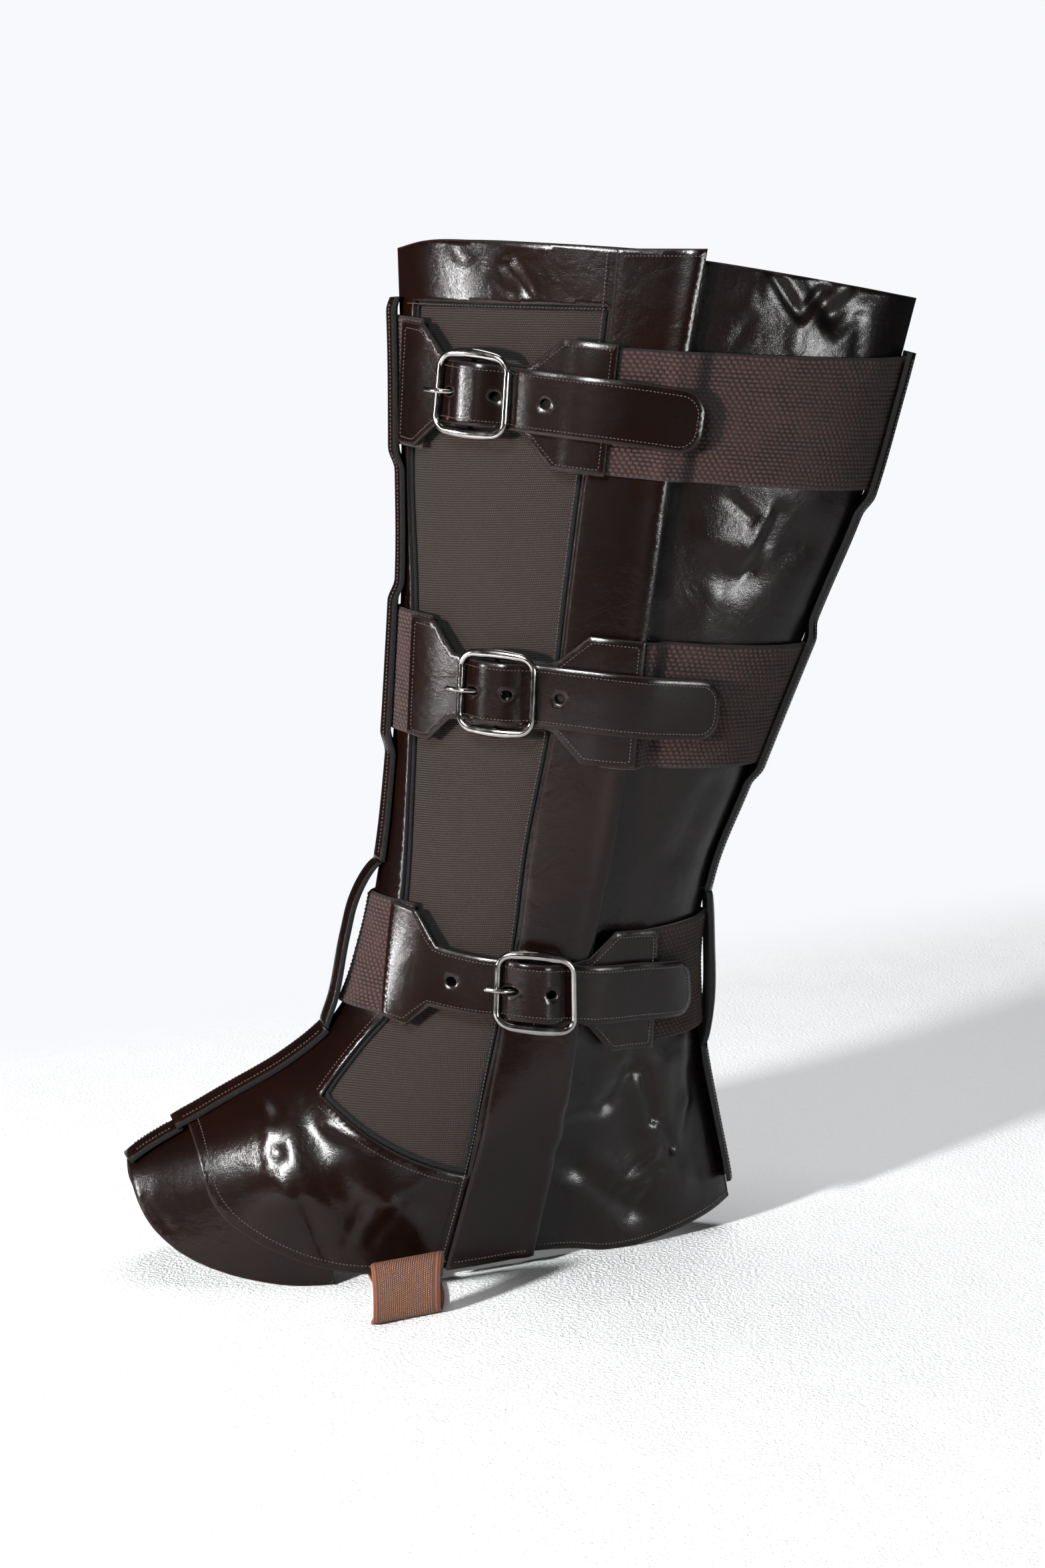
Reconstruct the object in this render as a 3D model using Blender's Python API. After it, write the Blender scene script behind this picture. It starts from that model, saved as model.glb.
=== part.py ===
"""Knee-high leather boot cover, one of a pair: the left one, standing empty.

Leather side panels meet in a seam down the shin and another down the calf, each under a narrow
strip. The outer side has a canvas window, a long placket and three webbing straps that end in
leather tabs with centre-bar buckles. An elastic stirrup lies under the foot.

Every panel is cut from one curved surface. The surface is a stack of lens-shaped sections, given
in SECTIONS. "u" runs round a section from the front seam (0) to the back seam (1), and "v" runs
from the rim (0) to the floor (about 1). A pattern piece is drawn in the side view, where x runs
from toe to heel and z runs up, and its wall lies between two "lifts", which are heights above the
bare surface. The cover's outer side faces -Y. All sizes here are in millimetres.
"""
from collections import namedtuple
from math import ceil, cos, hypot, pi, radians, sin

import bpy
import numpy as np
from mathutils import Vector
from mathutils.geometry import delaunay_2d_cdt

MM = 0.001
OUTER, INNER = -1, 1                 # the two sides of the cover
SEAM_GAP = 0.3                       # clearance between pieces

# ---------------------------------------------------------------- the curved surface
Section = namedtuple("Section", "v front_x front_z back_x back_z half_width turn waist")
SECTIONS = (
    Section(0.00, -48, 412, 158, 392, 46, 0, 0.00),      # rim
    Section(0.10, -47, 371, 148, 351, 46, 0, 0.00),
    Section(0.20, -47, 330, 137, 311, 45, 0, 0.00),
    Section(0.30, -47, 289, 121, 271, 44, 0, 0.00),
    Section(0.40, -49, 248, 106, 232, 43, 1, 0.00),
    Section(0.50, -52, 206, 92, 194, 41, 3, 0.00),
    Section(0.60, -57, 165, 79, 158, 39, 6, 0.00),
    Section(0.68, -64, 132, 74, 126, 38, 9, 0.00),       # ankle
    Section(0.75, -75, 104, 75, 101, 39, 11, 0.04),
    Section(0.82, -98, 84, 78, 77, 41, 12, 0.10),        # instep
    Section(0.88, -131, 67, 83, 53, 42, 13, 0.18),
    Section(0.94, -166, 47, 88, 29, 42, 13, 0.26),       # toe tip
    Section(1.00, -186, 18, 92, 6, 42, 13, 0.32),
    Section(1.06, -192, -10, 94, -12, 42, 13, 0.34),     # just under the floor
)
SECTION_TABLE = np.array(SECTIONS, float)
LENS_ANGLE = radians(75)             # half the arc of a section: its ends meet in a corner
WAIST_START, WAIST_LENGTH = 0.45, 0.30   # stretch of a section that the waist narrows
SEAM_ROUNDING = 6.0                  # how far from a seam the webbing starts to bend round it
STRIP_SAG = 0.014                    # how much a strip bends down towards its edges

Fold = namedtuple("Fold", "side x0 z0 x1 z1 depth width")
FOLDS = (
    Fold(OUTER, 110, 404, 122, 386, -1.8, 5.5),          # V-shaped crease below the rim
    Fold(OUTER, 122, 386, 137, 398, -1.8, 5.5),
    Fold(OUTER, 88, 392, 98, 402, 1.2, 7.0),
    Fold(OUTER, 112, 298, 86, 284, -1.6, 8.0),           # slanting creases in the calf
    Fold(OUTER, 74, 300, 96, 292, 1.2, 7.0),
    Fold(OUTER, 76, 196, 62, 170, -1.4, 7.0),
    Fold(OUTER, -96, 70, -78, 34, -1.6, 7.0),            # folds that fan out over the instep
    Fold(OUTER, -108, 62, -102, 38, 1.4, 7.0),
    Fold(OUTER, -84, 50, -56, 24, 1.2, 7.0),
    Fold(OUTER, 36, 74, 42, 36, -1.8, 8.0),              # dents under the ankle strap
    Fold(OUTER, 56, 78, 54, 40, 1.5, 8.0),
    Fold(OUTER, 72, 70, 74, 30, -1.2, 7.0),
    Fold(OUTER, 26, 30, 46, 16, -1.2, 7.0),
    Fold(INNER, 100, 400, 112, 388, -1.6, 6.0),
    Fold(INNER, 104, 300, 80, 286, -1.6, 8.0),
    Fold(INNER, -6, 300, 8, 272, 1.2, 9.0),
    Fold(INNER, 70, 196, 56, 168, -1.5, 8.0),
    Fold(INNER, -28, 190, -18, 162, 1.3, 8.0),
    Fold(INNER, -92, 66, -74, 32, -1.8, 8.0),
    Fold(INNER, -66, 54, -50, 26, 1.4, 8.0),
    Fold(INNER, 36, 74, 42, 36, -1.8, 9.0),
    Fold(INNER, 62, 70, 64, 34, 1.4, 9.0),
)

# ---------------------------------------------------------------- walls and their lifts
PANEL_T = 2.0                        # leather of the panels and strips
TAB_T = 1.8                          # leather of the tabs and tongues
CANVAS_T = 1.3
WEBBING_T = 2.0
WEB_GAP = 0.3                        # webbing lies a little looser than the leather
ELASTIC_T = 1.2
UNDER = -2.8                         # toe pieces and back panels: the lower layer
OVER = 0.0                           # front panels: the upper layer
ON_UNDER = 0.1                       # what lies on the lower layer starts here
ON_OVER = 2.6                        # what lies on the upper layer starts here
CANVAS_LIFT = -2.1
PLACKET_LIFT = 2.5
ON_PLACKET = 5.1                     # webbing on the placket
ON_WEBBING = 5.7                     # front tabs, on the webbing
GRID = 13.0                          # spacing of the points inside a panel
EDGE_STEP = 8.5                      # spacing of the points along its outline

# ---------------------------------------------------------------- pattern outlines, side view
RIM_FRONT = ((-48, 412), (-39, 414.6), (-19, 415), (10, 413.7), (34, 412.3), (58, 410.6))
RIM_BACK = ((46, 409.6), (72, 407), (101, 402.5), (132, 397), (158, 392))
VAMP_FRONT_EDGE = ((-141, 63.5), (-139, 56), (-137, 46), (-134.5, 36), (-129, 28), (-121, 21.5),
                   (-106.5, 13.5), (-91.5, 8), (-73, 5), (-50, 4.6), (-14, 4.6))
TOE_EDGE = ((-166, 47), (-164, 35.5), (-159.5, 25.5), (-151, 16.5), (-143.5, 11.5), (-132, 6.5),
            (-117, 2.4), (-105, 0.5), (-95, 0.1), (-87, 0.4))
TOE_BACK_EDGE = ((-87, 0.4), (-89, 15), (-98, 24), (-109, 33), (-117, 44), (-122, 72))
HEEL_HEM = ((91, 12.5), (80, 8.6), (65.5, 4.6), (45.5, 0.7), (29.5, 0.3), (16, 2.6), (-1.5, 4.2),
            (-22, 4.4))
WINDOW_FRONT = ((-41.5, 391.5), (-44.6, 324), (-43.3, 274), (-46, 198), (-51, 147), (-60.5, 104))
WINDOW_INSTEP = ((-60.5, 104), (-88.4, 74.5))
WINDOW_BOTTOM = ((-88.4, 74.5), (-74.6, 62.6), (-57, 52), (-42, 46), (-32.5, 43))
PlacketRow = namedtuple("PlacketRow", "z left right")
PLACKET = (
    PlacketRow(412.0, 36.5, 70.5), PlacketRow(378.0, 33.5, 64.5), PlacketRow(325.0, 25.0, 56.5),
    PlacketRow(281.0, 19.5, 51.0), PlacketRow(224.0, 11.5, 41.5), PlacketRow(175.0, 0.2, 32.0),
    PlacketRow(135.0, -7.3, 22.0), PlacketRow(102.0, -16.0, 14.5), PlacketRow(54.0, -29.0, 6.0),
    PlacketRow(4.6, -42.5, -4.5),
)
WINDOW_TOP = 390.0                   # height of the window's top back corner
BORDER = 1.5                         # leather between the window and the placket
CANVAS_LAP = 6.0                     # how far the canvas runs on under the leather
LAP = 5.0                            # how far the panels run past the placket's centre line
TOE_TIP_V, VAMP_END_V, TOE_TOP_V, HEEL_END_V = 0.940, 0.893, 0.862, 0.981

# ---------------------------------------------------------------- strips over the seams
Strip = namedtuple("Strip", "name seam v0 v1 half_width lift webbing")
STRIPS = (
    Strip("shin_strip", 0, 0.047, 0.600, 7.5, ON_OVER, ("upper", "middle")),
    Strip("instep_strip", 0, 0.776, 0.897, 7.5, ON_OVER, ()),
    Strip("toe_strip", 0, 0.902, 0.938, 6.5, ON_UNDER, ()),
    Strip("back_strip", 1, 0.050, 0.621, 7.5, ON_UNDER, ("upper", "middle")),
    Strip("heel_strip", 1, 0.806, 0.958, 7.5, ON_UNDER, ()),
)
BULGE_RAMP = 0.022                   # v over which a strip climbs on to the webbing
WEB_RAMP = 0.032                     # u over which webbing steps down from a panel's edge
Loop = namedtuple("Loop", "name seam v0 v1 half_width lift stand_off peak")
LOOPS = (
    Loop("ankle_loop_front", 0, 0.604, 0.772, 6.5, ON_OVER, 8.0, 0.34),
    Loop("ankle_loop_back", 1, 0.625, 0.802, 6.5, ON_UNDER, 6.0, 0.50),
)

# ---------------------------------------------------------------- straps and buckles
# v of its top and bottom edge at the front seam, at the back seam and at its back end
Web = namedtuple("Web", "top_front bottom_front top_back bottom_back top_end bottom_end "
                        "front_end back_end")
WEBS = {
    "upper": Web(0.064, 0.189, 0.055, 0.187, 0.071, 0.191, 0.105, 0.425),
    "middle": Web(0.349, 0.468, 0.343, 0.472, 0.345, 0.472, 0.150, 0.530),
    "lower": Web(0.632, 0.745, 0.643, 0.780, 0.650, 0.782, 0.175, 0.695),
}
# the strap's centre line in the side view, from the front tab to the tongue's tip; "lean" is how
# far its cross lines slant towards the heel for each millimetre of height
LinePoint = namedtuple("LinePoint", "x z lean")
CENTRE_LINES = {
    "upper": (LinePoint(-46, 360.6, 0.03), LinePoint(-30, 357.6, 0.09),
              LinePoint(-15.4, 356.3, 0.05), LinePoint(8, 353.3, 0.08),
              LinePoint(35, 350.4, 0.11), LinePoint(76, 344.2, 0.14)),
    "middle": (LinePoint(-47, 244.4, 0.05), LinePoint(-23, 240.4, 0.08),
               LinePoint(-8.1, 239.5, 0.05), LinePoint(13, 238.4, 0.10),
               LinePoint(42, 236.0, 0.12), LinePoint(80, 231.6, 0.10)),
    "lower": (LinePoint(-61, 129.4, 0.17), LinePoint(-35.3, 122.0, 0.19),
              LinePoint(-2.8, 119.0, 0.09), LinePoint(14.5, 117.3, 0.08),
              LinePoint(47, 114.5, 0.06), LinePoint(67, 111.6, -0.08)),
}
BAR_X = {"upper": -15.4, "middle": -8.1, "lower": -2.8}        # side view x of the centre bar
TAB_EDGE = {"upper": -36.5, "middle": -39.5, "lower": -59.0}   # along the strap, from that bar
TIP = {"upper": 87.0, "middle": 85.5, "lower": 72.0}
FRONT_NECK = {"upper": 14.8, "middle": 13.3, "lower": 12.6}    # half height of the tab's neck
FREE_HOLES = {"upper": (9.0, 28.5), "middle": (4.5, 23.5), "lower": (-31.0, 5.5)}
STRAP_HALF, FRONT_TAB_HALF, BACK_TAB_HALF, BACK_NECK_HALF = 12.2, 24.0, 25.4, 14.2
TAB_STRAIGHT, TAB_SLOPE, NECK_NARROW = 11.0, 9.5, -12.0
BACK_TAB_EDGE, BACK_TAB_STRAIGHT, BACK_TAB_SLOPE = 53.0, 20.5, 11.0
HOLE_R, PRONG_HOLE_X, PRONG_HOLE_LONG, PRONG_HOLE_WIDE = 2.0, -9.0, 3.0, 1.8
TIP_R = 9.0
BEND_COLUMNS = (-15.0, -11.8, -4.0, 0.0, 4.0, 8.0, 11.8, 15.0)   # where the tongue bends

FRAME_HALF_X, FRAME_HALF_Y, FRAME_CORNER, FRAME_BOW = 13.6, 14.9, 5.5, 0.5
SIDE_BAR_R, END_BAR_R, END_BAR_DEPTH = 1.5, 2.0, 1.7
FRAME_H, BAR_H, BAR_R = 10.2, 7.8, 1.0     # heights above the bare surface
WIRE_R, RING_WIRE_R, RING_R = 0.95, 0.75, 2.1
WRAP_R, WRAP_T, WRAP_SWEEP, WRAP_STEPS = 2.1, 1.4, radians(250), 9
SLOT_HALF = 1.6
BUCKLE_RISE = {"upper": 0.0, "middle": 0.0, "lower": 2.6}      # the lower one sits on the placket

# lowest face of the tongue and of the back tab, along the strap from the centre bar
TongueRow = namedtuple("TongueRow", "along lift")
TONGUE_OVER_BAR = (
    TongueRow(-18.5, 5.8), TongueRow(-15.5, 6.0), TongueRow(-13.5, 6.1), TongueRow(-11.8, 6.6),
    TongueRow(-9.5, 8.2), TongueRow(-7.0, 9.8), TongueRow(-4.0, 10.9), TongueRow(0.0, 11.1),
    TongueRow(4.0, 10.8), TongueRow(7.0, 9.0), TongueRow(9.5, 7.2), TongueRow(11.8, 6.0),
    TongueRow(13.5, 5.7), TongueRow(15.5, 5.9),
)
TONGUE_PAST_BUCKLE = {
    "upper": (TongueRow(22, 7.0), TongueRow(34, 8.2), TongueRow(42, 9.9), TongueRow(56, 9.9),
              TongueRow(68, 8.4), TongueRow(87, 7.6)),
    "middle": (TongueRow(22, 7.2), TongueRow(32, 8.6), TongueRow(40, 9.9), TongueRow(56, 9.9),
               TongueRow(68, 7.4), TongueRow(86, 4.8)),
    "lower": (TongueRow(22, 8.8), TongueRow(32, 7.2), TongueRow(42, 5.4), TongueRow(56, 5.2),
              TongueRow(72, 3.8)),
}
BACK_TAB_LIFT = {
    "upper": (TongueRow(10, 3.9), TongueRow(15.5, 3.4), TongueRow(22, 5.2), TongueRow(34, 6.1),
              TongueRow(40, 7.6), TongueRow(55, 7.6)),
    "middle": (TongueRow(10, 3.9), TongueRow(15.5, 3.6), TongueRow(21.5, 5.3), TongueRow(32, 6.6),
               TongueRow(38, 7.6), TongueRow(55, 7.6)),
    "lower": (TongueRow(10, 6.4), TongueRow(15.5, 5.6), TongueRow(23, 5.3), TongueRow(32, 4.4),
              TongueRow(42, 2.8), TongueRow(55, 2.8)),
}

# ---------------------------------------------------------------- the elastic stirrup
STIRRUP_X, STIRRUP_HALF = -67.0, 13.5     # its middle and half its width, along the foot
STIRRUP_TOP = 24.0                        # height of the slack fold in front of the hem
STIRRUP_OUT = 45.0                        # how far the fold stands out from the hem
STIRRUP_SKEW = 4.5                        # how much less its heel side stands out, and its toe side more
STIRRUP_LEAN = 9.0                        # how far towards the heel it lies under the foot
STIRRUP_SEWN = 14.0                       # height to which its ends are sewn inside


# ================================================================ surface functions
def smooth_curve(at, knots, values):
    """Cubic curve through the rows of values at the knots."""
    at = np.asarray(at, float)
    slope = np.gradient(values, knots, axis=0)
    i = np.clip(np.searchsorted(knots, at, side="right") - 1, 0, len(knots) - 2)
    step = (knots[i + 1] - knots[i])
    t = ((at - knots[i]) / step)[..., None]
    step = step[..., None]
    return ((2 * t**3 - 3 * t**2 + 1) * values[i] + (t**3 - 2 * t**2 + t) * step * slope[i]
            + (3 * t**2 - 2 * t**3) * values[i + 1] + (t**3 - t**2) * step * slope[i + 1])


def section_at(v):
    """Section values at each v, as arrays named by the table's columns."""
    rows = smooth_curve(v, SECTION_TABLE[:, 0], SECTION_TABLE[:, 1:])
    return Section(v, *np.moveaxis(rows, -1, 0))


def smooth_step(t):
    t = np.clip(t, 0, 1)
    return t * t * (3 - 2 * t)


def side_view(u, v):
    """Side-view x and z, and depth from the middle plane, of the bare surface."""
    s = section_at(v)
    angle = (2 * u - 1) * LENS_ANGLE
    chord = (1 + np.sin(angle) / sin(LENS_ANGLE)) / 2
    depth = s.half_width * (np.cos(angle) - cos(LENS_ANGLE)) / (1 - cos(LENS_ANGLE))
    depth = depth * (1 - s.waist * smooth_step((chord - WAIST_START) / WAIST_LENGTH))
    x = s.front_x + (s.back_x - s.front_x) * chord
    z = s.front_z + (s.back_z - s.front_z) * chord
    return x, z, depth


def turned(x, y, z, v):
    """The foot is turned a little towards the outer side; the turn grows down the cover."""
    a = np.radians(section_at(v).turn)
    return np.stack([x * np.cos(a) - y * np.sin(a), x * np.sin(a) + y * np.cos(a), z], -1)


def bare(u, v, side):
    x, z, depth = side_view(u, v)
    return turned(x, side * depth, z, v)


def relief(u, v, side):
    """Height of the leather's folds at a point, as soft ridges and troughs."""
    x, z, _ = side_view(u, v)
    height = np.zeros(np.shape(x))
    for fold in FOLDS:
        if fold.side != side:
            continue
        along = np.array([fold.x1 - fold.x0, fold.z1 - fold.z0], float)
        length = np.hypot(*along)
        t = ((x - fold.x0) * along[0] + (z - fold.z0) * along[1]) / length**2
        near = np.clip(t, 0, 1)
        away = np.hypot(x - fold.x0 - near * along[0], z - fold.z0 - near * along[1])
        height = height + fold.depth * np.exp(-(away / fold.width)**2)
    return height


def normal(u, v, side):
    step = 1e-4
    inside = np.clip(u, step, 1 - step)
    along_u = bare(inside + step, v, side) - bare(inside - step, v, side)
    along_v = bare(inside, v + step, side) - bare(inside, v - step, side)
    n = side * np.cross(along_u, along_v)
    return n / np.linalg.norm(n, axis=-1, keepdims=True)


def skin(u, v, side, lift):
    """Point at a lift above the bare surface of one side, kept to its side of the seams."""
    u, v = np.asarray(u, float), np.asarray(v, float)
    height = (np.asarray(lift, float) + relief(u, v, side))[..., None]
    p = bare(u, v, side) + normal(u, v, side) * height
    a = np.radians(section_at(v).turn)
    across = -p[..., 0] * np.sin(a) + p[..., 1] * np.cos(a)
    move = np.maximum(SEAM_GAP / 2 - side * across, 0) * side
    p[..., 0] -= move * np.sin(a)
    p[..., 1] += move * np.cos(a)
    return p


def seam_speed(v, seam):
    """Millimetres of surface per unit of u beside a seam."""
    step = 1e-3
    near = np.full(np.shape(v), 1 - step if seam else step)
    end = np.full(np.shape(v), float(seam))
    return np.linalg.norm(bare(near, v, OUTER) - bare(end, v, OUTER), axis=-1) / step


def over_seam(t, v, seam, lift):
    """Point t millimetres past a seam (outer side negative), bending smoothly round it."""
    t, v = np.broadcast_arrays(np.asarray(t, float), np.asarray(v, float))
    u = np.abs(t) / seam_speed(v, seam)
    u = 1 - u if seam else u
    outer = t < 0
    p = np.where(outer[..., None], bare(u, v, OUTER), bare(u, v, INNER))
    n = np.where(outer[..., None], normal(u, v, OUTER), normal(u, v, INNER))
    mean = normal(np.full(v.shape, float(seam)), v, OUTER)
    mean = mean + normal(np.full(v.shape, float(seam)), v, INNER)
    mean /= np.linalg.norm(mean, axis=-1, keepdims=True)
    w = (1 - smooth_step(np.abs(t) / SEAM_ROUNDING))[..., None]
    n = n * (1 - w) + mean * w
    n /= np.linalg.norm(n, axis=-1, keepdims=True)
    fold = np.where(outer, relief(u, v, OUTER), relief(u, v, INNER)) * (1 - w[..., 0])
    return p + n * (np.asarray(lift, float) + fold)[..., None]


def flat_over_seam(t, v, seam, lift):
    """Point of a strip that lies flat across a seam, t millimetres past it."""
    t, v = np.broadcast_arrays(np.asarray(t, float), np.asarray(v, float))
    end = np.full(v.shape, float(seam))
    mean = normal(end, v, OUTER) + normal(end, v, INNER)
    mean /= np.linalg.norm(mean, axis=-1, keepdims=True)
    a = np.radians(section_at(v).turn)
    across = np.stack([-np.sin(a), np.cos(a), np.zeros(a.shape)], -1)
    height = np.asarray(lift, float) - STRIP_SAG * t**2
    return bare(end, v, OUTER) + across * t[..., None] + mean * height[..., None]


def find_uv(x, z):
    """u and v of side-view points; points beyond a seam land on it."""
    x, z = np.asarray(x, float), np.asarray(z, float)
    low, high = np.full(x.shape, -0.06), np.full(x.shape, SECTIONS[-1].v)
    for _ in range(30):
        v = (low + high) / 2
        s = section_at(v)
        above = ((s.back_x - s.front_x) * (z - s.front_z)
                 - (s.back_z - s.front_z) * (x - s.front_x)) > 0
        high = np.where(above, v, high)
        low = np.where(above, low, v)
    s = section_at(v)
    across_x, across_z = s.back_x - s.front_x, s.back_z - s.front_z
    chord = ((x - s.front_x) * across_x + (z - s.front_z) * across_z)
    chord = np.clip(chord / (across_x**2 + across_z**2), 0, 1)
    angle = np.arcsin(np.clip((2 * chord - 1) * sin(LENS_ANGLE), -1, 1))
    return (angle / LENS_ANGLE + 1) / 2, v


# ================================================================ outlines
def drawn(points, step=EDGE_STEP):
    """Smooth side-view line through the points, as (u, v) rows about a step apart."""
    points = np.array(points, float)
    along = np.concatenate([[0], np.cumsum(np.hypot(*np.diff(points, axis=0).T))])
    count = max(2, ceil(along[-1] / step) + 1)
    line = smooth_curve(np.linspace(0, along[-1], count), along, points)
    return np.stack(find_uv(line[:, 0], line[:, 1]), -1)


def along_seam(seam, v0, v1, step=EDGE_STEP):
    count = max(2, ceil(abs(v1 - v0) * 415 / step) + 1)
    return np.stack([np.full(count, float(seam)), np.linspace(v0, v1, count)], -1)


def outline(*runs):
    """Closed outline from runs that follow each other; shared end points are kept once."""
    joined = np.concatenate(runs)
    flat = to_flat(joined)
    keep = np.hypot(*(flat - np.roll(flat, 1, axis=0)).T) > 1.2
    return joined[keep]


def to_flat(uv):
    """Rough flat pattern of the surface, in millimetres, used to lay out the triangles."""
    s = section_at(uv[:, 1])
    girth = 1.06 * np.hypot(s.back_x - s.front_x, s.back_z - s.front_z) + 0.35 * s.half_width
    return np.stack([(uv[:, 0] - 0.5) * girth, uv[:, 1] * 415], -1)


def from_flat(flat):
    v = flat[:, 1] / 415
    s = section_at(v)
    girth = 1.06 * np.hypot(s.back_x - s.front_x, s.back_z - s.front_z) + 0.35 * s.half_width
    return np.stack([np.clip(flat[:, 0] / girth + 0.5, 0, 1), v], -1)


def grown(loop, distance):
    """Outline moved outward in the flat pattern."""
    flat = to_flat(loop)
    tangent = np.roll(flat, -1, axis=0) - np.roll(flat, 1, axis=0)
    tangent /= np.linalg.norm(tangent, axis=1, keepdims=True)
    turn = np.sign(signed_area(flat))
    out = np.stack([tangent[:, 1], -tangent[:, 0]], -1) * turn
    return from_flat(flat + out * distance)


def signed_area(loop):
    x, y = loop[:, 0], loop[:, 1]
    return 0.5 * np.sum(x * np.roll(y, -1) - y * np.roll(x, -1))


def inside(points, loop):
    """Which points lie inside a closed loop."""
    x, y = points[:, 0:1], points[:, 1:2]
    x0, y0 = loop[:, 0], loop[:, 1]
    x1, y1 = np.roll(x0, -1), np.roll(y0, -1)
    crosses = (y0 > y) != (y1 > y)
    with np.errstate(divide="ignore", invalid="ignore"):
        at = x0 + (y - y0) * (x1 - x0) / (y1 - y0)
    return (np.sum(crosses & (x < at), axis=1) % 2).astype(bool)


def distance_to(points, loop):
    """Distance from each point to the nearest edge of a loop."""
    start, end = loop, np.roll(loop, -1, axis=0)
    d = end - start
    t = ((points[:, None] - start) * d).sum(-1) / np.maximum((d * d).sum(-1), 1e-9)
    nearest = start + np.clip(t, 0, 1)[..., None] * d
    return np.linalg.norm(points[:, None] - nearest, axis=-1).min(axis=1)


def triangulate(loop, holes=(), grid=GRID, columns=()):
    """Even triangles inside a flat loop with holes: points and triangles. Columns are extra
    lines of points where the piece bends sharply."""
    loop = np.asarray(loop)
    loops = [loop, *holes]
    low, high = loop.min(axis=0), loop.max(axis=0)
    xs = np.arange(low[0] + grid / 2, high[0], grid)
    if len(columns):
        far = np.abs(xs[:, None] - np.array(columns)).min(axis=1) > grid * 0.4
        xs = np.sort(np.concatenate([xs[far], columns]))
    ys = np.arange(low[1] + grid / 2, high[1], grid)
    inner = np.stack(np.meshgrid(xs, ys), -1).reshape(-1, 2)
    if len(inner):
        keep = inside(inner, loop)
        for hole in holes:
            keep &= ~inside(inner, hole)
        for ring in loops:
            keep &= distance_to(inner, ring) > grid * 0.5
        inner = inner[keep]
    points = np.concatenate([*loops, inner])
    edges = []
    first = 0
    for ring in loops:
        n = len(ring)
        edges += [(first + i, first + (i + 1) % n) for i in range(n)]
        first += n
    verts, _, faces, *_ = delaunay_2d_cdt([Vector(p) for p in points], edges, [], 1, 1e-5)
    verts = np.array([(p.x, p.y) for p in verts])
    faces = np.array([list(f) for f in faces])
    middle = verts[faces].mean(axis=1)
    keep = inside(middle, loop)
    for hole in holes:
        keep &= ~inside(middle, hole)
    return verts, faces[keep]


# ================================================================ solids
def new_object(name, points, faces, material, smooth=True):
    """Mesh object from millimetre points, its faces pointing out."""
    mesh = bpy.data.meshes.new(name)
    mesh.from_pydata([tuple(p) for p in np.asarray(points) * MM], [],
                     [tuple(int(i) for i in f) for f in faces])
    mesh.validate()
    mesh.update()
    if signed_volume(mesh) < 0:
        mesh.flip_normals()
    if smooth:
        mesh.shade_smooth()
        mesh.set_sharp_from_angle(angle=radians(40))
    mesh.materials.append(material)
    obj = bpy.data.objects.new(name, mesh)
    bpy.context.scene.collection.objects.link(obj)
    return obj


def signed_volume(mesh):
    mesh.calc_loop_triangles()
    points = np.array([v.co for v in mesh.vertices])
    tris = np.array([t.vertices for t in mesh.loop_triangles])
    a, b, c = points[tris[:, 0]], points[tris[:, 1]], points[tris[:, 2]]
    return float(np.einsum("ij,ij->i", a, np.cross(b, c)).sum() / 6)


def wall(name, low, high, faces, material):
    """Closed wall between two sheets that share their triangles."""
    count = len(low)
    sides = {}
    for f in faces:
        for i in range(len(f)):
            a, b = int(f[i]), int(f[(i + 1) % len(f)])
            if (b, a) in sides:
                del sides[(b, a)]
            else:
                sides[(a, b)] = True
    solid = [tuple(f) for f in faces]
    solid += [tuple(int(i) + count for i in reversed(f)) for f in faces]
    solid += [(b, a, a + count, b + count) for a, b in sides]
    return new_object(name, np.concatenate([high, low]), solid, material)


def panel(name, side, loop, lift, thickness, material, holes=()):
    """Pattern piece cut from the surface."""
    verts, faces = triangulate(to_flat(loop), [to_flat(h) for h in holes])
    u, v = from_flat(verts).T
    low = skin(u, v, side, lift)
    high = skin(u, v, side, lift + thickness)
    return wall(name, low, high, faces, material)


def grid_faces(rows, columns):
    return [(i * columns + j, i * columns + j + 1, (i + 1) * columns + j + 1, (i + 1) * columns + j)
            for i in range(rows - 1) for j in range(columns - 1)]


def tube(points, radii, material, name, up, sides=6, closed=False):
    """Tube along a path; radii are (across, along up) pairs."""
    points, radii = np.asarray(points, float), np.asarray(radii, float)
    count = len(points)
    rings = []
    for i, p in enumerate(points):
        before = points[i - 1] if closed or i else p
        after = points[(i + 1) % count] if closed or i < count - 1 else p
        forward = after - before
        forward /= np.linalg.norm(forward)
        rise = up[i] - forward * np.dot(up[i], forward)
        rise /= np.linalg.norm(rise)
        across = np.cross(forward, rise)
        for k in range(sides):
            turn = 2 * pi * (k + 0.5) / sides
            rings.append(p + across * radii[i][0] * cos(turn) + rise * radii[i][1] * sin(turn))
    faces = []
    for i in range(count if closed else count - 1):
        j = (i + 1) % count
        for k in range(sides):
            m = (k + 1) % sides
            faces.append((i * sides + k, i * sides + m, j * sides + m, j * sides + k))
    if not closed:
        faces.append(tuple(range(sides - 1, -1, -1)))
        faces.append(tuple((count - 1) * sides + k for k in range(sides)))
    return new_object(name, rings, faces, material)


# ================================================================ materials
def leather_like(name, colour, roughness, metallic=0.0):
    material = bpy.data.materials.new(name)
    material.use_nodes = True
    shader = material.node_tree.nodes["Principled BSDF"]
    shader.inputs["Base Color"].default_value = (*colour, 1)
    shader.inputs["Roughness"].default_value = roughness
    shader.inputs["Metallic"].default_value = metallic
    return material


# ================================================================ panels
def placket_line(offset, column, z0=4.6, z1=412.0):
    """Side-view line along the placket, from z1 down to z0: column 0 left, 1 right, 0.5 middle."""
    rows = [r for r in PLACKET if z0 - 0.1 <= r.z <= z1 + 0.1]
    return [(r.left + (r.right - r.left) * column + offset, r.z) for r in rows]


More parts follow.
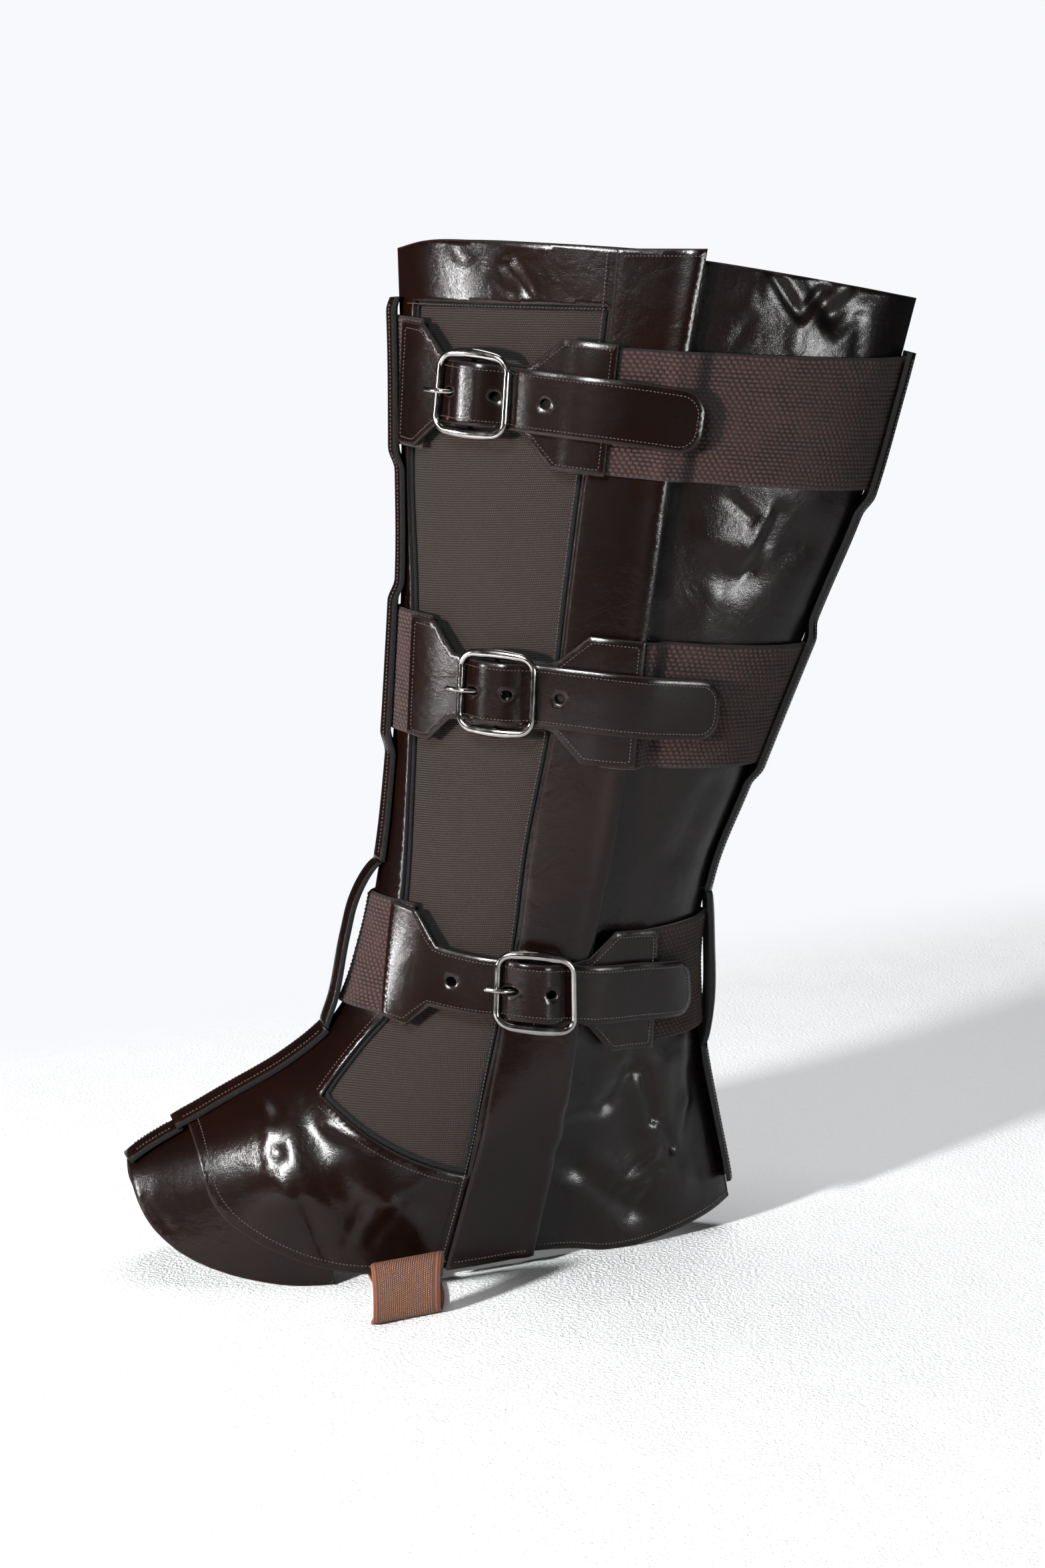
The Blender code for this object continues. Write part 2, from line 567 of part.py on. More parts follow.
def front_panel_loop():
    back = placket_line(LAP, 0.5)
    back[0] = (back[0][0], RIM_FRONT[-1][1])
    rim = (*RIM_FRONT[:-1], back[0])
    hem = (*VAMP_FRONT_EDGE[:-1], back[-1])
    return outline(along_seam(0, 0.0, VAMP_END_V), drawn(hem),
                   drawn(back[::-1]), drawn(rim[::-1]))


def back_panel_loop():
    front = placket_line(-LAP, 0.5)
    front[0] = (front[0][0], RIM_BACK[0][1])
    front[-1] = (front[-1][0], HEEL_HEM[-1][1])
    rim = (front[0], *RIM_BACK[1:])
    hem = (*HEEL_HEM[:-1], front[-1])
    return outline(along_seam(1, 0.0, HEEL_END_V), drawn(hem),
                   drawn(front[::-1]), drawn(rim))


def toe_loop():
    return outline(along_seam(0, TOE_TOP_V, TOE_TIP_V), drawn(TOE_EDGE), drawn(TOE_BACK_EDGE))


def window_loop():
    back = placket_line(-BORDER, 0.0, z0=50, z1=380)
    back = [(back[0][0] + 1.5, WINDOW_TOP), *back, WINDOW_BOTTOM[-1]]
    return outline(drawn(WINDOW_FRONT), drawn(WINDOW_INSTEP), drawn(WINDOW_BOTTOM),
                   drawn(back[::-1]), drawn([back[0], WINDOW_FRONT[0]]))


def placket_loop():
    left, right = placket_line(0, 0.0), placket_line(0, 1.0)
    return outline(drawn(left), drawn([left[-1], right[-1]]), drawn(right[::-1]),
                   drawn([right[0], left[0]]))


def panels(leather, canvas):
    window = window_loop()
    for side, suffix in ((OUTER, "lateral"), (INNER, "medial")):
        panel("toe_" + suffix, side, toe_loop(), UNDER, PANEL_T, leather)
        panel("quarter_" + suffix, side, back_panel_loop(), UNDER, PANEL_T, leather)
        holes = [window] if side == OUTER else []
        panel("vamp_" + suffix, side, front_panel_loop(), OVER, PANEL_T, leather, holes)
    panel("canvas_window", OUTER, grown(window, CANVAS_LAP), CANVAS_LIFT, CANVAS_T, canvas)
    panel("placket", OUTER, placket_loop(), PLACKET_LIFT, PANEL_T, leather)


# ================================================================ seam strips and webbing
def band_limits(web, back_share):
    """v of a webbing's top and bottom edge, from the front seam (0) to the back seam (1)."""
    top = web.top_front + (web.top_back - web.top_front) * back_share
    bottom = web.bottom_front + (web.bottom_back - web.bottom_front) * back_share
    return top, bottom


def strip_lift(strip, v):
    """A strip climbs on to each webbing that it covers."""
    lift = np.full(np.shape(v), strip.lift)
    for name in strip.webbing:
        top, bottom = band_limits(WEBS[name], strip.seam)
        up = smooth_step((v - top + BULGE_RAMP + 0.004) / BULGE_RAMP)
        down = smooth_step((bottom + BULGE_RAMP + 0.004 - v) / BULGE_RAMP)
        lift = lift + up * down * (WEBBING_T + WEB_GAP + SEAM_GAP)
    return lift


def seam_band(name, seam, vs, half_width, lift, material, columns=3):
    ts = np.linspace(-half_width, half_width, columns)
    t, v = np.meshgrid(ts, vs)
    lifts = np.broadcast_to(np.asarray(lift)[:, None], t.shape)
    low = flat_over_seam(t, v, seam, lifts).reshape(-1, 3)
    high = flat_over_seam(t, v, seam, lifts + PANEL_T).reshape(-1, 3)
    return wall(name, low, high, grid_faces(len(vs), columns), material)


def seam_strips(leather):
    for strip in STRIPS:
        vs = np.linspace(strip.v0, strip.v1, max(4, ceil((strip.v1 - strip.v0) * 415 / 7) + 1))
        seam_band(strip.name, strip.seam, vs, strip.half_width, strip_lift(strip, vs), leather)
    for loop in LOOPS:
        share = (1 - np.cos(pi * np.linspace(0, 1, 15))) / 2
        vs = loop.v0 + share * (loop.v1 - loop.v0)
        bend = np.where(share < loop.peak, share / loop.peak / 2,
                        0.5 + (share - loop.peak) / (1 - loop.peak) / 2)
        lift = loop.lift + loop.stand_off * np.sin(pi * bend)**0.7
        seam_band(loop.name, loop.seam, vs, loop.half_width, lift, leather)


def placket_x(z, column):
    rows = np.array(PLACKET[::-1], float)
    return np.interp(z, rows[:, 0], rows[:, 1] + (rows[:, 2] - rows[:, 1]) * column)


def u_at_edge(v, column, offset):
    """u at which the side view crosses a line along the placket."""
    low, high = np.full(np.shape(v), 0.2), np.full(np.shape(v), 0.95)
    for _ in range(24):
        u = (low + high) / 2
        x, z, _ = side_view(u, v)
        beyond = x > placket_x(z, column) + offset
        high, low = np.where(beyond, u, high), np.where(beyond, low, u)
    return u


def webbing_rows(web, share):
    """Rows (side, u, v, lift) of a webbing from its front end, round the inner side, to its back
    end. It steps down beside the placket and beside the inner front panel's edge."""
    at_front = web.top_front + (web.bottom_front - web.top_front) * share
    at_back = web.top_back + (web.bottom_back - web.top_back) * share
    at_end = web.top_end + (web.bottom_end - web.top_end) * share
    near = np.array([0, 2.0, 4.0, 7.5])
    by_front = near / seam_speed(np.array(at_front), 0)
    by_back = near / seam_speed(np.array(at_back), 1)
    inner_edge = float(u_at_edge(np.array((at_front + at_back) / 2), 0.5, LAP + 2.5))
    outer_edge = float(u_at_edge(np.array(at_back), 1.0, 2.5))
    steps = WEB_RAMP * np.array([0, 0.35, 0.65, 1.0])

    def stepped(u, start, high):
        return high + (ON_UNDER + WEB_GAP - high) * float(smooth_step((u - start) / WEB_RAMP))

    on_over = ON_OVER + WEB_GAP
    rows = [(OUTER, u, at_front, on_over) for u in (*np.linspace(web.front_end, by_front[-1], 4), *by_front[-2::-1])]
    inner = [*by_front[1:], *np.linspace(by_front[-1], inner_edge, 7)[1:-1], *(inner_edge + steps),
             *np.linspace(inner_edge + WEB_RAMP, 1 - by_back[-1], 6)[1:-1], *(1 - by_back[:0:-1])]
    rows += [(INNER, u, at_front + (at_back - at_front) * u, stepped(u, inner_edge, on_over))
             for u in inner]
    outer = list(1 - by_back)
    if web.back_end > outer_edge + WEB_RAMP:
        outer += list(np.linspace(1 - by_back[-1], web.back_end, 4)[1:])
    else:
        outer += [*np.linspace(1 - by_back[-1], outer_edge + WEB_RAMP, 6)[1:-1],
                  *(outer_edge + steps[::-1]), (outer_edge + web.back_end) / 2, web.back_end]
    fall = (at_end - at_back) / (1 - web.back_end)
    return rows + [(OUTER, u, at_back + (1 - u) * fall, stepped(u, outer_edge, ON_PLACKET))
                   for u in outer]


def web_point(side, u, v, lift):
    """Point of the webbing, bending round a seam when it is close to one."""
    for seam in (0, 1):
        t = abs(u - seam) * float(seam_speed(np.array(v), seam))
        if t < SEAM_ROUNDING:
            return over_seam(np.array(side * t), np.array(v), seam, lift)
    return skin(np.array(u), np.array(v), side, lift)


def webbings(cloth):
    for name, web in WEBS.items():
        columns = [webbing_rows(web, share) for share in np.linspace(0, 1, 4)]
        stations = list(zip(*columns))
        low = [web_point(*row) for station in stations for row in station]
        high = [web_point(*row[:3], row[3] + WEBBING_T) for station in stations for row in station]
        wall("webbing_" + name, low, high, grid_faces(len(stations), len(columns)), cloth)


# ================================================================ straps on the outer side
class StrapMap:
    """Lays flat pattern points (along, across) on the outer side, along a strap's centre line."""

    def __init__(self, name):
        points = np.array(CENTRE_LINES[name], float)
        xs = np.linspace(points[0, 0], points[-1, 0], 240)
        zs, leans = smooth_curve(xs, points[:, 0], points[:, 1:]).T
        path = bare(*find_uv(xs, zs), OUTER)
        along = np.concatenate([[0], np.cumsum(np.linalg.norm(np.diff(path, axis=0), axis=1))])
        self.along = along - np.interp(BAR_X[name], xs, along)
        self.x, self.z, self.lean = xs, zs, leans
        above = bare(*find_uv(xs + leans, zs + 1), OUTER)
        below = bare(*find_uv(xs - leans, zs - 1), OUTER)
        self.rate = 2 / np.linalg.norm(above - below, axis=1)

    def uv(self, along, across):
        rise = across * np.interp(along, self.along, self.rate)
        x = np.interp(along, self.along, self.x) + rise * np.interp(along, self.along, self.lean)
        return find_uv(x, np.interp(along, self.along, self.z) + rise)

    def __call__(self, along, across, height):
        u, v = self.uv(along, across)
        return bare(u, v, OUTER) + normal(u, v, OUTER) * np.asarray(height, float)[..., None]


def arc(cx, cy, rx, ry, start, end, count):
    turns = np.radians(np.linspace(start, end, count))
    return [(cx + rx * cos(t), cy + ry * sin(t)) for t in turns]


def resampled(points, step, closed=True):
    """Straight-sided outline with a point about every step."""
    out = []
    for i, p in enumerate(points if closed else points[:-1]):
        q = points[(i + 1) % len(points)]
        count = max(1, round(hypot(q[0] - p[0], q[1] - p[1]) / step))
        out += [(p[0] + (q[0] - p[0]) * k / count, p[1] + (q[1] - p[1]) * k / count)
                for k in range(count)]
    return out


def tongue_pattern(name):
    edge, tip = TAB_EDGE[name], TIP[name]
    shoulder = edge + TAB_STRAIGHT + TAB_SLOPE
    half = [(edge, FRONT_TAB_HALF), (edge + TAB_STRAIGHT, FRONT_TAB_HALF),
            (shoulder, FRONT_NECK[name]), (NECK_NARROW, STRAP_HALF), (tip - TIP_R, STRAP_HALF)]
    round_end = arc(tip - TIP_R, STRAP_HALF - TIP_R, TIP_R, TIP_R, 67.5, 0, 4)
    upper = half + round_end
    lower = [(x, -y) for x, y in reversed(upper)]
    return resampled(upper + lower, 5.5)


def tongue_lift(name, along):
    rise = BUCKLE_RISE[name]
    rows = [TongueRow(TAB_EDGE[name], ON_WEBBING),
            TongueRow(-27.0 - 2 * rise, ON_WEBBING + rise * 0.2)]
    rows += [TongueRow(r.along, r.lift + rise) for r in TONGUE_OVER_BAR]
    rows += TONGUE_PAST_BUCKLE[name]
    table = np.array(rows, float)
    return smooth_curve(along, table[:, 0], table[:, 1:])[..., 0]


def tongue(name, lay, leather):
    holes = [np.array(arc(x, 0, HOLE_R, HOLE_R, 0, 315, 8)) for x in FREE_HOLES[name]]
    holes.append(np.array(arc(PRONG_HOLE_X, 0, PRONG_HOLE_LONG, PRONG_HOLE_WIDE, 0, 315, 8)))
    verts, faces = triangulate(tongue_pattern(name), holes, grid=6.0, columns=BEND_COLUMNS)
    low_at = tongue_lift(name, verts[:, 0])
    low = lay(verts[:, 0], verts[:, 1], low_at)
    high = lay(verts[:, 0], verts[:, 1], low_at + TAB_T)
    wall("tongue_" + name, low, high, faces, leather)


def back_tab(name, lay, leather):
    """Tab whose neck folds round the buckle's centre bar, with a slot for the prong."""
    rise = BUCKLE_RISE[name]
    edge = BACK_TAB_EDGE
    shoulder = edge - BACK_TAB_STRAIGHT
    neck = shoulder - BACK_TAB_SLOPE
    fold = -WRAP_R * WRAP_SWEEP * np.linspace(0, 1, WRAP_STEPS + 1)
    narrow = STRAP_HALF - 0.7
    half = [(edge, BACK_TAB_HALF), (shoulder, BACK_TAB_HALF), (neck, BACK_NECK_HALF),
            (13.0, narrow), (4.0, narrow)]
    upper = resampled(half, 6.5, closed=False) + [(x, narrow) for x in fold]
    upper += [(x, SLOT_HALF) for x in fold[::-1]] + [(4.0, SLOT_HALF)]
    right = [(edge, y) for y in np.linspace(-BACK_TAB_HALF, BACK_TAB_HALF, 9)[1:-1]]
    loop = np.array(right + upper + [(x, -y) for x, y in reversed(upper)])
    verts, faces = triangulate(loop, grid=11.0)
    along, across = verts.T
    low_at_bar = BAR_H - WRAP_R - WRAP_T / 2 + rise
    table = np.array([TongueRow(0, low_at_bar), TongueRow(3, low_at_bar), *BACK_TAB_LIFT[name]],
                     float)
    flat_low = smooth_curve(np.maximum(along, 0), table[:, 0], table[:, 1:])[..., 0]
    sheets = []
    for offset in (0.0, WRAP_T):
        # the plate's lower face is the outside of the fold, its upper face the inside
        radius = WRAP_R + WRAP_T / 2 - offset
        turn = np.where(along < 0, -along / WRAP_R, 0)
        x = np.where(along < 0, -radius * np.sin(turn), along)
        h = np.where(along < 0, BAR_H + rise - radius * np.cos(turn), flat_low + offset)
        sheets.append(lay(x, across, h))
    wall("back_tab_" + name, sheets[0], sheets[1], faces, leather)


def buckle(name, lay, metal):
    """Rounded frame with a thinner centre bar, in one piece."""
    rise = BUCKLE_RISE[name]
    path, radii = [], []
    hx, hy, r = FRAME_HALF_X, FRAME_HALF_Y, FRAME_CORNER
    corners = ((hx - r, hy - r, 0), (-hx + r, hy - r, 90), (-hx + r, -hy + r, 180),
               (hx - r, -hy + r, 270))
    outline_points = []
    for cx, cy, start in corners:
        outline_points += arc(cx, cy, r, r, start, start + 90, 4)
    for x, y in resampled(outline_points, 5.5):
        end_bar = smooth_step((abs(y) - hy + r) / r)
        path.append((x, y + np.sign(y) * FRAME_BOW * cos(pi * x / (2 * hx)) * end_bar))
        radii.append((SIDE_BAR_R + (END_BAR_R - SIDE_BAR_R) * end_bar,
                      SIDE_BAR_R + (END_BAR_DEPTH - SIDE_BAR_R) * end_bar))
    path = np.array(path)
    height = np.full(len(path), FRAME_H + rise)
    points = lay(path[:, 0], path[:, 1], height)
    up = lay(path[:, 0], path[:, 1], height + 1) - points
    frame = tube(points, radii, metal, "buckle_" + name, up, closed=True)
    across = np.array([-hy - 0.6, -hy + 1.2, -hy + 2.5, hy - 2.5, hy - 1.2, hy + 0.6])
    bar_h = rise + np.array([FRAME_H - 0.5, FRAME_H - 0.9, BAR_H, BAR_H, FRAME_H - 0.9,
                             FRAME_H - 0.5])
    centre = lay(np.zeros(6), across, bar_h)
    up = lay(np.zeros(6), across, bar_h + 1) - centre
    bar = tube(centre, [(BAR_R, BAR_R)] * 6, metal, "bar_cutter_" + name, up)
    join = frame.modifiers.new("centre bar", "BOOLEAN")
    join.operation = "UNION"
    join.solver = "EXACT"
    join.object = bar
    bar.hide_render = True
    bar.display_type = "WIRE"


def prong(name, lay, metal):
    """Wire that loops round the centre bar and ends on the frame's front side bar."""
    rise = BUCKLE_RISE[name]
    ring = [(RING_R * cos(radians(t)), BAR_H + RING_R * sin(radians(t)))
            for t in range(120, -171, -36)]
    rod = [(-4.2, 8.0), (-6.0, 8.6), (-7.6, 9.6), (-9.4, 11.0), (-11.4, 12.4), (-13.6, 12.9),
           (-16.0, 12.8), (-17.6, 12.5)]
    path = np.array(ring + rod)
    points = lay(path[:, 0], np.zeros(len(path)), path[:, 1] + rise)
    sideways = lay(path[:, 0], np.ones(len(path)), path[:, 1] + rise) - points
    radii = [(RING_WIRE_R, RING_WIRE_R)] * len(ring) + [(WIRE_R, WIRE_R)] * (len(rod) - 1)
    radii += [(WIRE_R * 0.6, WIRE_R * 0.6)]
    tube(points, radii, metal, "prong_" + name, sideways)


# ================================================================ stirrup
def wall_depth(x, z):
    """Depth of the bare surface from the middle plane, at a side-view point."""
    return side_view(*find_uv(np.array([x]), np.array([z])))[2][0]


def stirrup_line(x):
    """(depth, height) line of the elastic at one x: from inside the inner side, under the foot,
    out in front of the outer hem, up to the slack fold, back under the hem and up inside."""
    low = ELASTIC_T / 2 + 0.02
    hem = wall_depth(STIRRUP_X, 4.0)
    out = -hem - STIRRUP_OUT + STIRRUP_SKEW * (x - STIRRUP_X) / STIRRUP_HALF
    x = x + STIRRUP_LEAN
    inner = wall_depth(x, STIRRUP_SEWN)
    sewn = ELASTIC_T / 2 + 0.45
    top = STIRRUP_TOP
    return np.array([
        (inner - sewn, top - 10), (wall_depth(x, 9.0) - sewn, 9.0),
        (wall_depth(x, 5.5) - sewn - 0.4, 5.0), (hem - 3.6, 1.6), (hem - 8, low), (0, low),
        (-hem + 10, low), (-hem - 15, low), (out + 8, low), (out + 2.5, low + 0.4),
        (out - 0.2, low + 2.6), (out - 1.4, 8.0), (out - 0.9, 15.0), (out + 0.8, top - 3.4),
        (out + 3.2, top - 0.8), (out + 6.4, top - 0.6), (out + 10, top - 2.4), (out + 17, 17.4),
        (out + 27, 10.4), (-hem - 9, 4.9), (-hem - 3, 2.9), (-hem - 0.4, 2.7),
        (-wall_depth(x, 4.6) + 1.4, 3.7), (-wall_depth(x, 6.5) + sewn + 0.2, 6.5),
        (-wall_depth(x, 10.0) + sewn, 10.0), (-inner + sewn, STIRRUP_SEWN),
    ], float)


def stirrup(elastic):
    """Elastic under the foot: sewn inside both sides, slack in front of the outer hem."""
    a = radians(SECTIONS[-1].turn)
    sheets = [[], []]
    columns = [STIRRUP_X + STIRRUP_HALF * k for k in (-1, 0, 1)]
    for x in columns:
        line = stirrup_line(x)
        hem = wall_depth(STIRRUP_X, 4.0)
        along = x + STIRRUP_LEAN * smooth_step(1 + (line[:, 0] + hem) / STIRRUP_OUT)
        tangent = np.gradient(line, axis=0)
        tangent /= np.linalg.norm(tangent, axis=1, keepdims=True)
        n = np.stack([-tangent[:, 1], tangent[:, 0]], -1) * ELASTIC_T / 2
        for sheet, face in zip(sheets, (line - n, line + n)):
            sheet.append([(x * cos(a) - y * sin(a), x * sin(a) + y * cos(a), z)
                          for x, (y, z) in zip(along, face)])
    low, high = (np.array(sheet).transpose(1, 0, 2).reshape(-1, 3) for sheet in sheets)
    wall("stirrup", low, high, grid_faces(len(low) // len(columns), len(columns)), elastic)


# ================================================================ build
def stand_on_origin():
    """Move everything so that the middle of the box's bottom face is the origin."""
    depsgraph = bpy.context.evaluated_depsgraph_get()
    corners = []
    for obj in bpy.data.objects:
        if not obj.hide_render:
            mesh = obj.evaluated_get(depsgraph).to_mesh()
            corners += [v.co.copy() for v in mesh.vertices]
    corners = np.array(corners)
    low, high = corners.min(axis=0), corners.max(axis=0)
    shift = Vector((-(low[0] + high[0]) / 2, -(low[1] + high[1]) / 2, -low[2]))
    for obj in bpy.data.objects:
        for vertex in obj.data.vertices:
            vertex.co += shift


def main():
    for obj in list(bpy.data.objects):
        bpy.data.objects.remove(obj, do_unlink=True)
    leather = leather_like("brown leather", (0.030, 0.014, 0.009), 0.32)
    canvas = leather_like("ribbed canvas", (0.075, 0.050, 0.040), 0.9)
    cloth = leather_like("brown webbing", (0.060, 0.032, 0.028), 0.9)
    elastic = leather_like("tan elastic", (0.35, 0.14, 0.06), 0.8)
    metal = leather_like("polished metal", (0.55, 0.54, 0.53), 0.2, 1.0)
    panels(leather, canvas)
    seam_strips(leather)
    webbings(cloth)
    for name in WEBS:
        lay = StrapMap(name)
        tongue(name, lay, leather)
        back_tab(name, lay, leather)
        buckle(name, lay, metal)
        prong(name, lay, metal)
    stirrup(elastic)
    stand_on_origin()


main()
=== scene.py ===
# %% [markdown]
# # A knee-high boot cover in leather, canvas and webbing
# This lesson dresses a plain solid frame so that it looks like the real boot cover. The cover is
# a tube of glossy brown leather for a leg. It has a canvas window on its outer side, three
# webbing straps with leather tabs and buckles, and an elastic stirrup that goes under the shoe.
# The frame comes first, because every new piece takes the place of a solid in it. Each piece
# could be pushed into shape by hand, but numbers are easier to change and to check.

from collections import namedtuple
from math import ceil, cos, hypot, pi, radians, sin

import bpy
import numpy as np
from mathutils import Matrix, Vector
from mathutils.geometry import delaunay_2d_cdt


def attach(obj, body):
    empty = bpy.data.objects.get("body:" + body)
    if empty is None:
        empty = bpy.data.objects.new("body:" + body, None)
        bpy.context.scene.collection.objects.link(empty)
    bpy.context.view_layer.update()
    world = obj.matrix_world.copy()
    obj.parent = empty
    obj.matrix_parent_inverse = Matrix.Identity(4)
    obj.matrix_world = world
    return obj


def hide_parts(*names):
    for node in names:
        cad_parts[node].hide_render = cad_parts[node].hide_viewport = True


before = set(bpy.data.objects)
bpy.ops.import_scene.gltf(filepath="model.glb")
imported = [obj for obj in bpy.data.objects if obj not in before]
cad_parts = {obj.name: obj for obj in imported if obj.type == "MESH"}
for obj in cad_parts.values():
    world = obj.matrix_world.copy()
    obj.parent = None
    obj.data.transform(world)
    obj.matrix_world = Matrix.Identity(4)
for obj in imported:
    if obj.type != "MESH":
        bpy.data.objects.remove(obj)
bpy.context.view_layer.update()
print("the frame holds", len(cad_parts), "solids")

# %% [markdown]
# ## The camera
# The photographer stood about 1.2 m away with a short telephoto lens, a little above the rim, and
# looked down by ten degrees. A long lens keeps the upright edges of the cover nearly straight. The
# camera could be aimed with a constraint, but a fixed place and angle can't drift.

# %% Camera
MM = 0.001                                # drawings are in millimetres, the scene is in metres
SHIFT = np.array([2.813, 28.913, -0.02])  # from the drawing's zero point to the frame's

camera_data = bpy.data.cameras.new("portrait lens")
camera_data.lens = 71.05
camera_data.clip_start = 0.05
camera = bpy.data.objects.new("portrait lens", camera_data)
camera.location = (0.0028, -1.2211, 0.42)
camera.rotation_euler = (radians(79.8), 0, 0)
bpy.context.scene.collection.objects.link(camera)
bpy.context.scene.camera = camera
print("camera is", round(-camera.location.y, 2), "m in front")

# %% [markdown]
# ## Mixing materials
# A finish is a small network of nodes. Writing each node in full takes many lines, so helpers do
# it: `node` makes one node, `wire` sets or joins its sockets, and a `Value` adds up and multiplies
# like a number. Positions come from the object's own coordinates, turned into millimetres, so that
# a grain of 0.6 means 0.6 mm. The real leather has such fixed sizes, and guessing at scales would
# take longer.

# %% Helpers for materials
class Value:
    """Output of a shader node. Values add up, subtract and multiply as numbers do."""

    def __init__(self, socket):
        self.socket, self.tree = socket, socket.id_data

    def __add__(self, other):
        return maths("ADD", self, other)

    def __sub__(self, other):
        return maths("SUBTRACT", self, other)

    def __rsub__(self, other):
        return maths("SUBTRACT", other, self)

    def __mul__(self, other):
        return maths("MULTIPLY", self, other)


def wire(made, inputs):
    """Sets the sockets of a node, or joins them to other nodes."""
    for key, value in inputs.items():
        if isinstance(value, Value):
            value.tree.links.new(value.socket, made.inputs[key])
        else:
            made.inputs[key].default_value = value


def node(tree, kind, inputs, output=0, **settings):
    """One output of a new shader node."""
    made = tree.nodes.new("ShaderNode" + kind)
    for key, value in settings.items():
        setattr(made, key, value)
    wire(made, inputs)
    return Value(made.outputs[output])


def maths(operation, *values):
    tree = next(value.tree for value in values if isinstance(value, Value))
    return node(tree, "Math", dict(enumerate(values)), operation=operation)


def axes(vector):
    separated = node(vector.tree, "SeparateXYZ", {0: vector}).socket.node
    return [Value(socket) for socket in separated.outputs]


def tinted(share, first, second):
    """Colour that goes from the first to the second as share goes from 0 to 1."""
    return node(share.tree, "Mix", {0: share, 6: first, 7: second}, 2, data_type="RGBA")


def between(value, low, high, to_low=0.0, to_high=1.0):
    return node(value.tree, "MapRange", {0: value, 1: low, 2: high, 3: to_low, 4: to_high},
                interpolation_type="SMOOTHSTEP")


def noise(place, scale, detail=2.0, output=0, **more):
    inputs = {"Vector": place, "Scale": scale, "Detail": detail, **more}
    return node(place.tree, "TexNoise", inputs, output)


def new_finish(name, inputs):
    """Empty material, its shader, and positions in millimetres."""
    material = bpy.data.materials.new(name)
    material.use_nodes = True
    tree = material.node_tree
    shader = tree.nodes["Principled BSDF"]
    wire(shader, inputs)
    place = node(tree, "TexCoord", {}, "Object")
    return material, shader, stretched(place, (1000, 1000, 1000))


def stretched(place, scale):
    return node(place.tree, "Mapping", {"Vector": place, "Scale": scale})


def note(shader, name):
    """The values that a mesh keeps on its points under this name."""
    return node(shader.id_data, "Attribute", {}, "Vector", attribute_name=name)


def bumped(shader, *layers):
    """Stacks layers of (height, millimetres) into one bump for the shader."""
    normal = {}
    for height, size in layers:
        inputs = {"Height": height, "Distance": size * MM, "Strength": 1.0, **normal}
        normal = {"Normal": node(height.tree, "Bump", inputs)}
    wire(shader, normal)
    return normal["Normal"]


def colour(red, green, blue):
    return (red, green, blue, 1.0)


# %% [markdown]
# ## Leather
# The leather has a smooth, almost black-brown coat over pressed pebbles half a millimetre wide.
# Light breaks up on them, so a highlight is a cloud of sparks and not a stripe. An image texture
# would need stretching over every piece. Cells and noise in space fit all pieces at once. A stored
# value on each point, the distance from the piece's cut edge, darkens and rounds the edges.

# %% Leather, its back and its cut edge
def mix_leather(name, dark, light, roughness, grain, wrinkle):
    material, shader, place = new_finish(name, {
        "Specular IOR Level": 0.14, "Coat Weight": 0.14, "Coat Roughness": 0.12})
    edge = axes(note(shader, "cut"))[2]
    bent = node(place.tree, "VectorMath", {0: noise(place, 0.35, 1.0, "Color"), 3: 0.9},
                operation="SCALE")
    bent = node(place.tree, "VectorMath", {0: place, 1: bent}, operation="ADD")
    cells = {"Vector": stretched(bent, (1.25, 1.25, 0.8)), "Scale": 1.5, "Randomness": 1.0}
    pebbles = node(place.tree, "TexVoronoi", cells, "Distance", feature="DISTANCE_TO_EDGE")
    pebbles = between(pebbles, 0.0, 0.32)
    pores = noise(place, 4.5)
    soft = noise(place, 0.085, 3.0, Distortion=0.6)
    lines = between(maths("ABSOLUTE", noise(place, 0.14, Distortion=1.2) - 0.5), 0.0, 0.035)
    patches = between(noise(place, 0.03), 0.38, 0.66)
    worn = between(edge, 0.0, 0.9, 0.35, 0.0)
    normal = bumped(shader, (soft, 0.30 * wrinkle), (lines, 0.008 * wrinkle),
                    (pebbles, 0.013 * grain), (pores, 0.004 * grain))
    gloss = between(patches, 0.0, 1.0, roughness + 0.03, roughness - 0.02)
    wire(shader, {
        "Base Color": tinted(worn * pores, tinted(patches, dark, light), colour(0.09, 0.05, 0.035)),
        "Roughness": gloss + pores * 0.05, "Coat Normal": normal})
    return material


def mix_rough(name, dark, light, scale, depth):
    """Matt, fibrous finish: the leather's back, or a raw cut edge."""
    material, shader, place = new_finish(name, {"Roughness": 0.95, "Specular IOR Level": 0.2})
    fibres = noise(place, scale, 4.0, Roughness=0.7)
    wire(shader, {"Base Color": tinted(between(fibres, 0.42, 0.68), dark, light)})
    bumped(shader, (fibres, depth))
    return material


leather = mix_leather("glossy brown leather", colour(0.0030, 0.0009, 0.0006),
                      colour(0.0054, 0.0016, 0.0010), 0.21, 1.0, 1.0)
leather_soft = mix_leather("creased brown leather", colour(0.0030, 0.0012, 0.0008),
                           colour(0.0042, 0.0015, 0.0010), 0.26, 1.4, 1.2)
leather_flat = mix_leather("strap leather", colour(0.0034, 0.0012, 0.0009),
                           colour(0.0048, 0.0016, 0.0010), 0.22, 0.9, 0.6)
suede = mix_rough("brown leather back", colour(0.012, 0.008, 0.006),
                  colour(0.045, 0.028, 0.020), 1.8, 0.25)
raw_edge = mix_rough("raw black edge", colour(0.0008, 0.0007, 0.0007),
                     colour(0.011, 0.010, 0.010), 2.2, 0.5)
print("leather finishes:", [m.name for m in (leather, leather_soft, leather_flat)])

# %% [markdown]
# ## Canvas, webbing, elastic and thread
# The canvas is a plain cotton weave with fine flat ribs. Two waves make it: one across the ribs
# and one along them, moved by half a thread in every other rib, as yarns go over and under. The
# waves run in stored weave coordinates, so that the ribs follow the cut of the window. The webbing
# is woven from thick yarns, so its weave is in the mesh itself and only its twist is a bump.

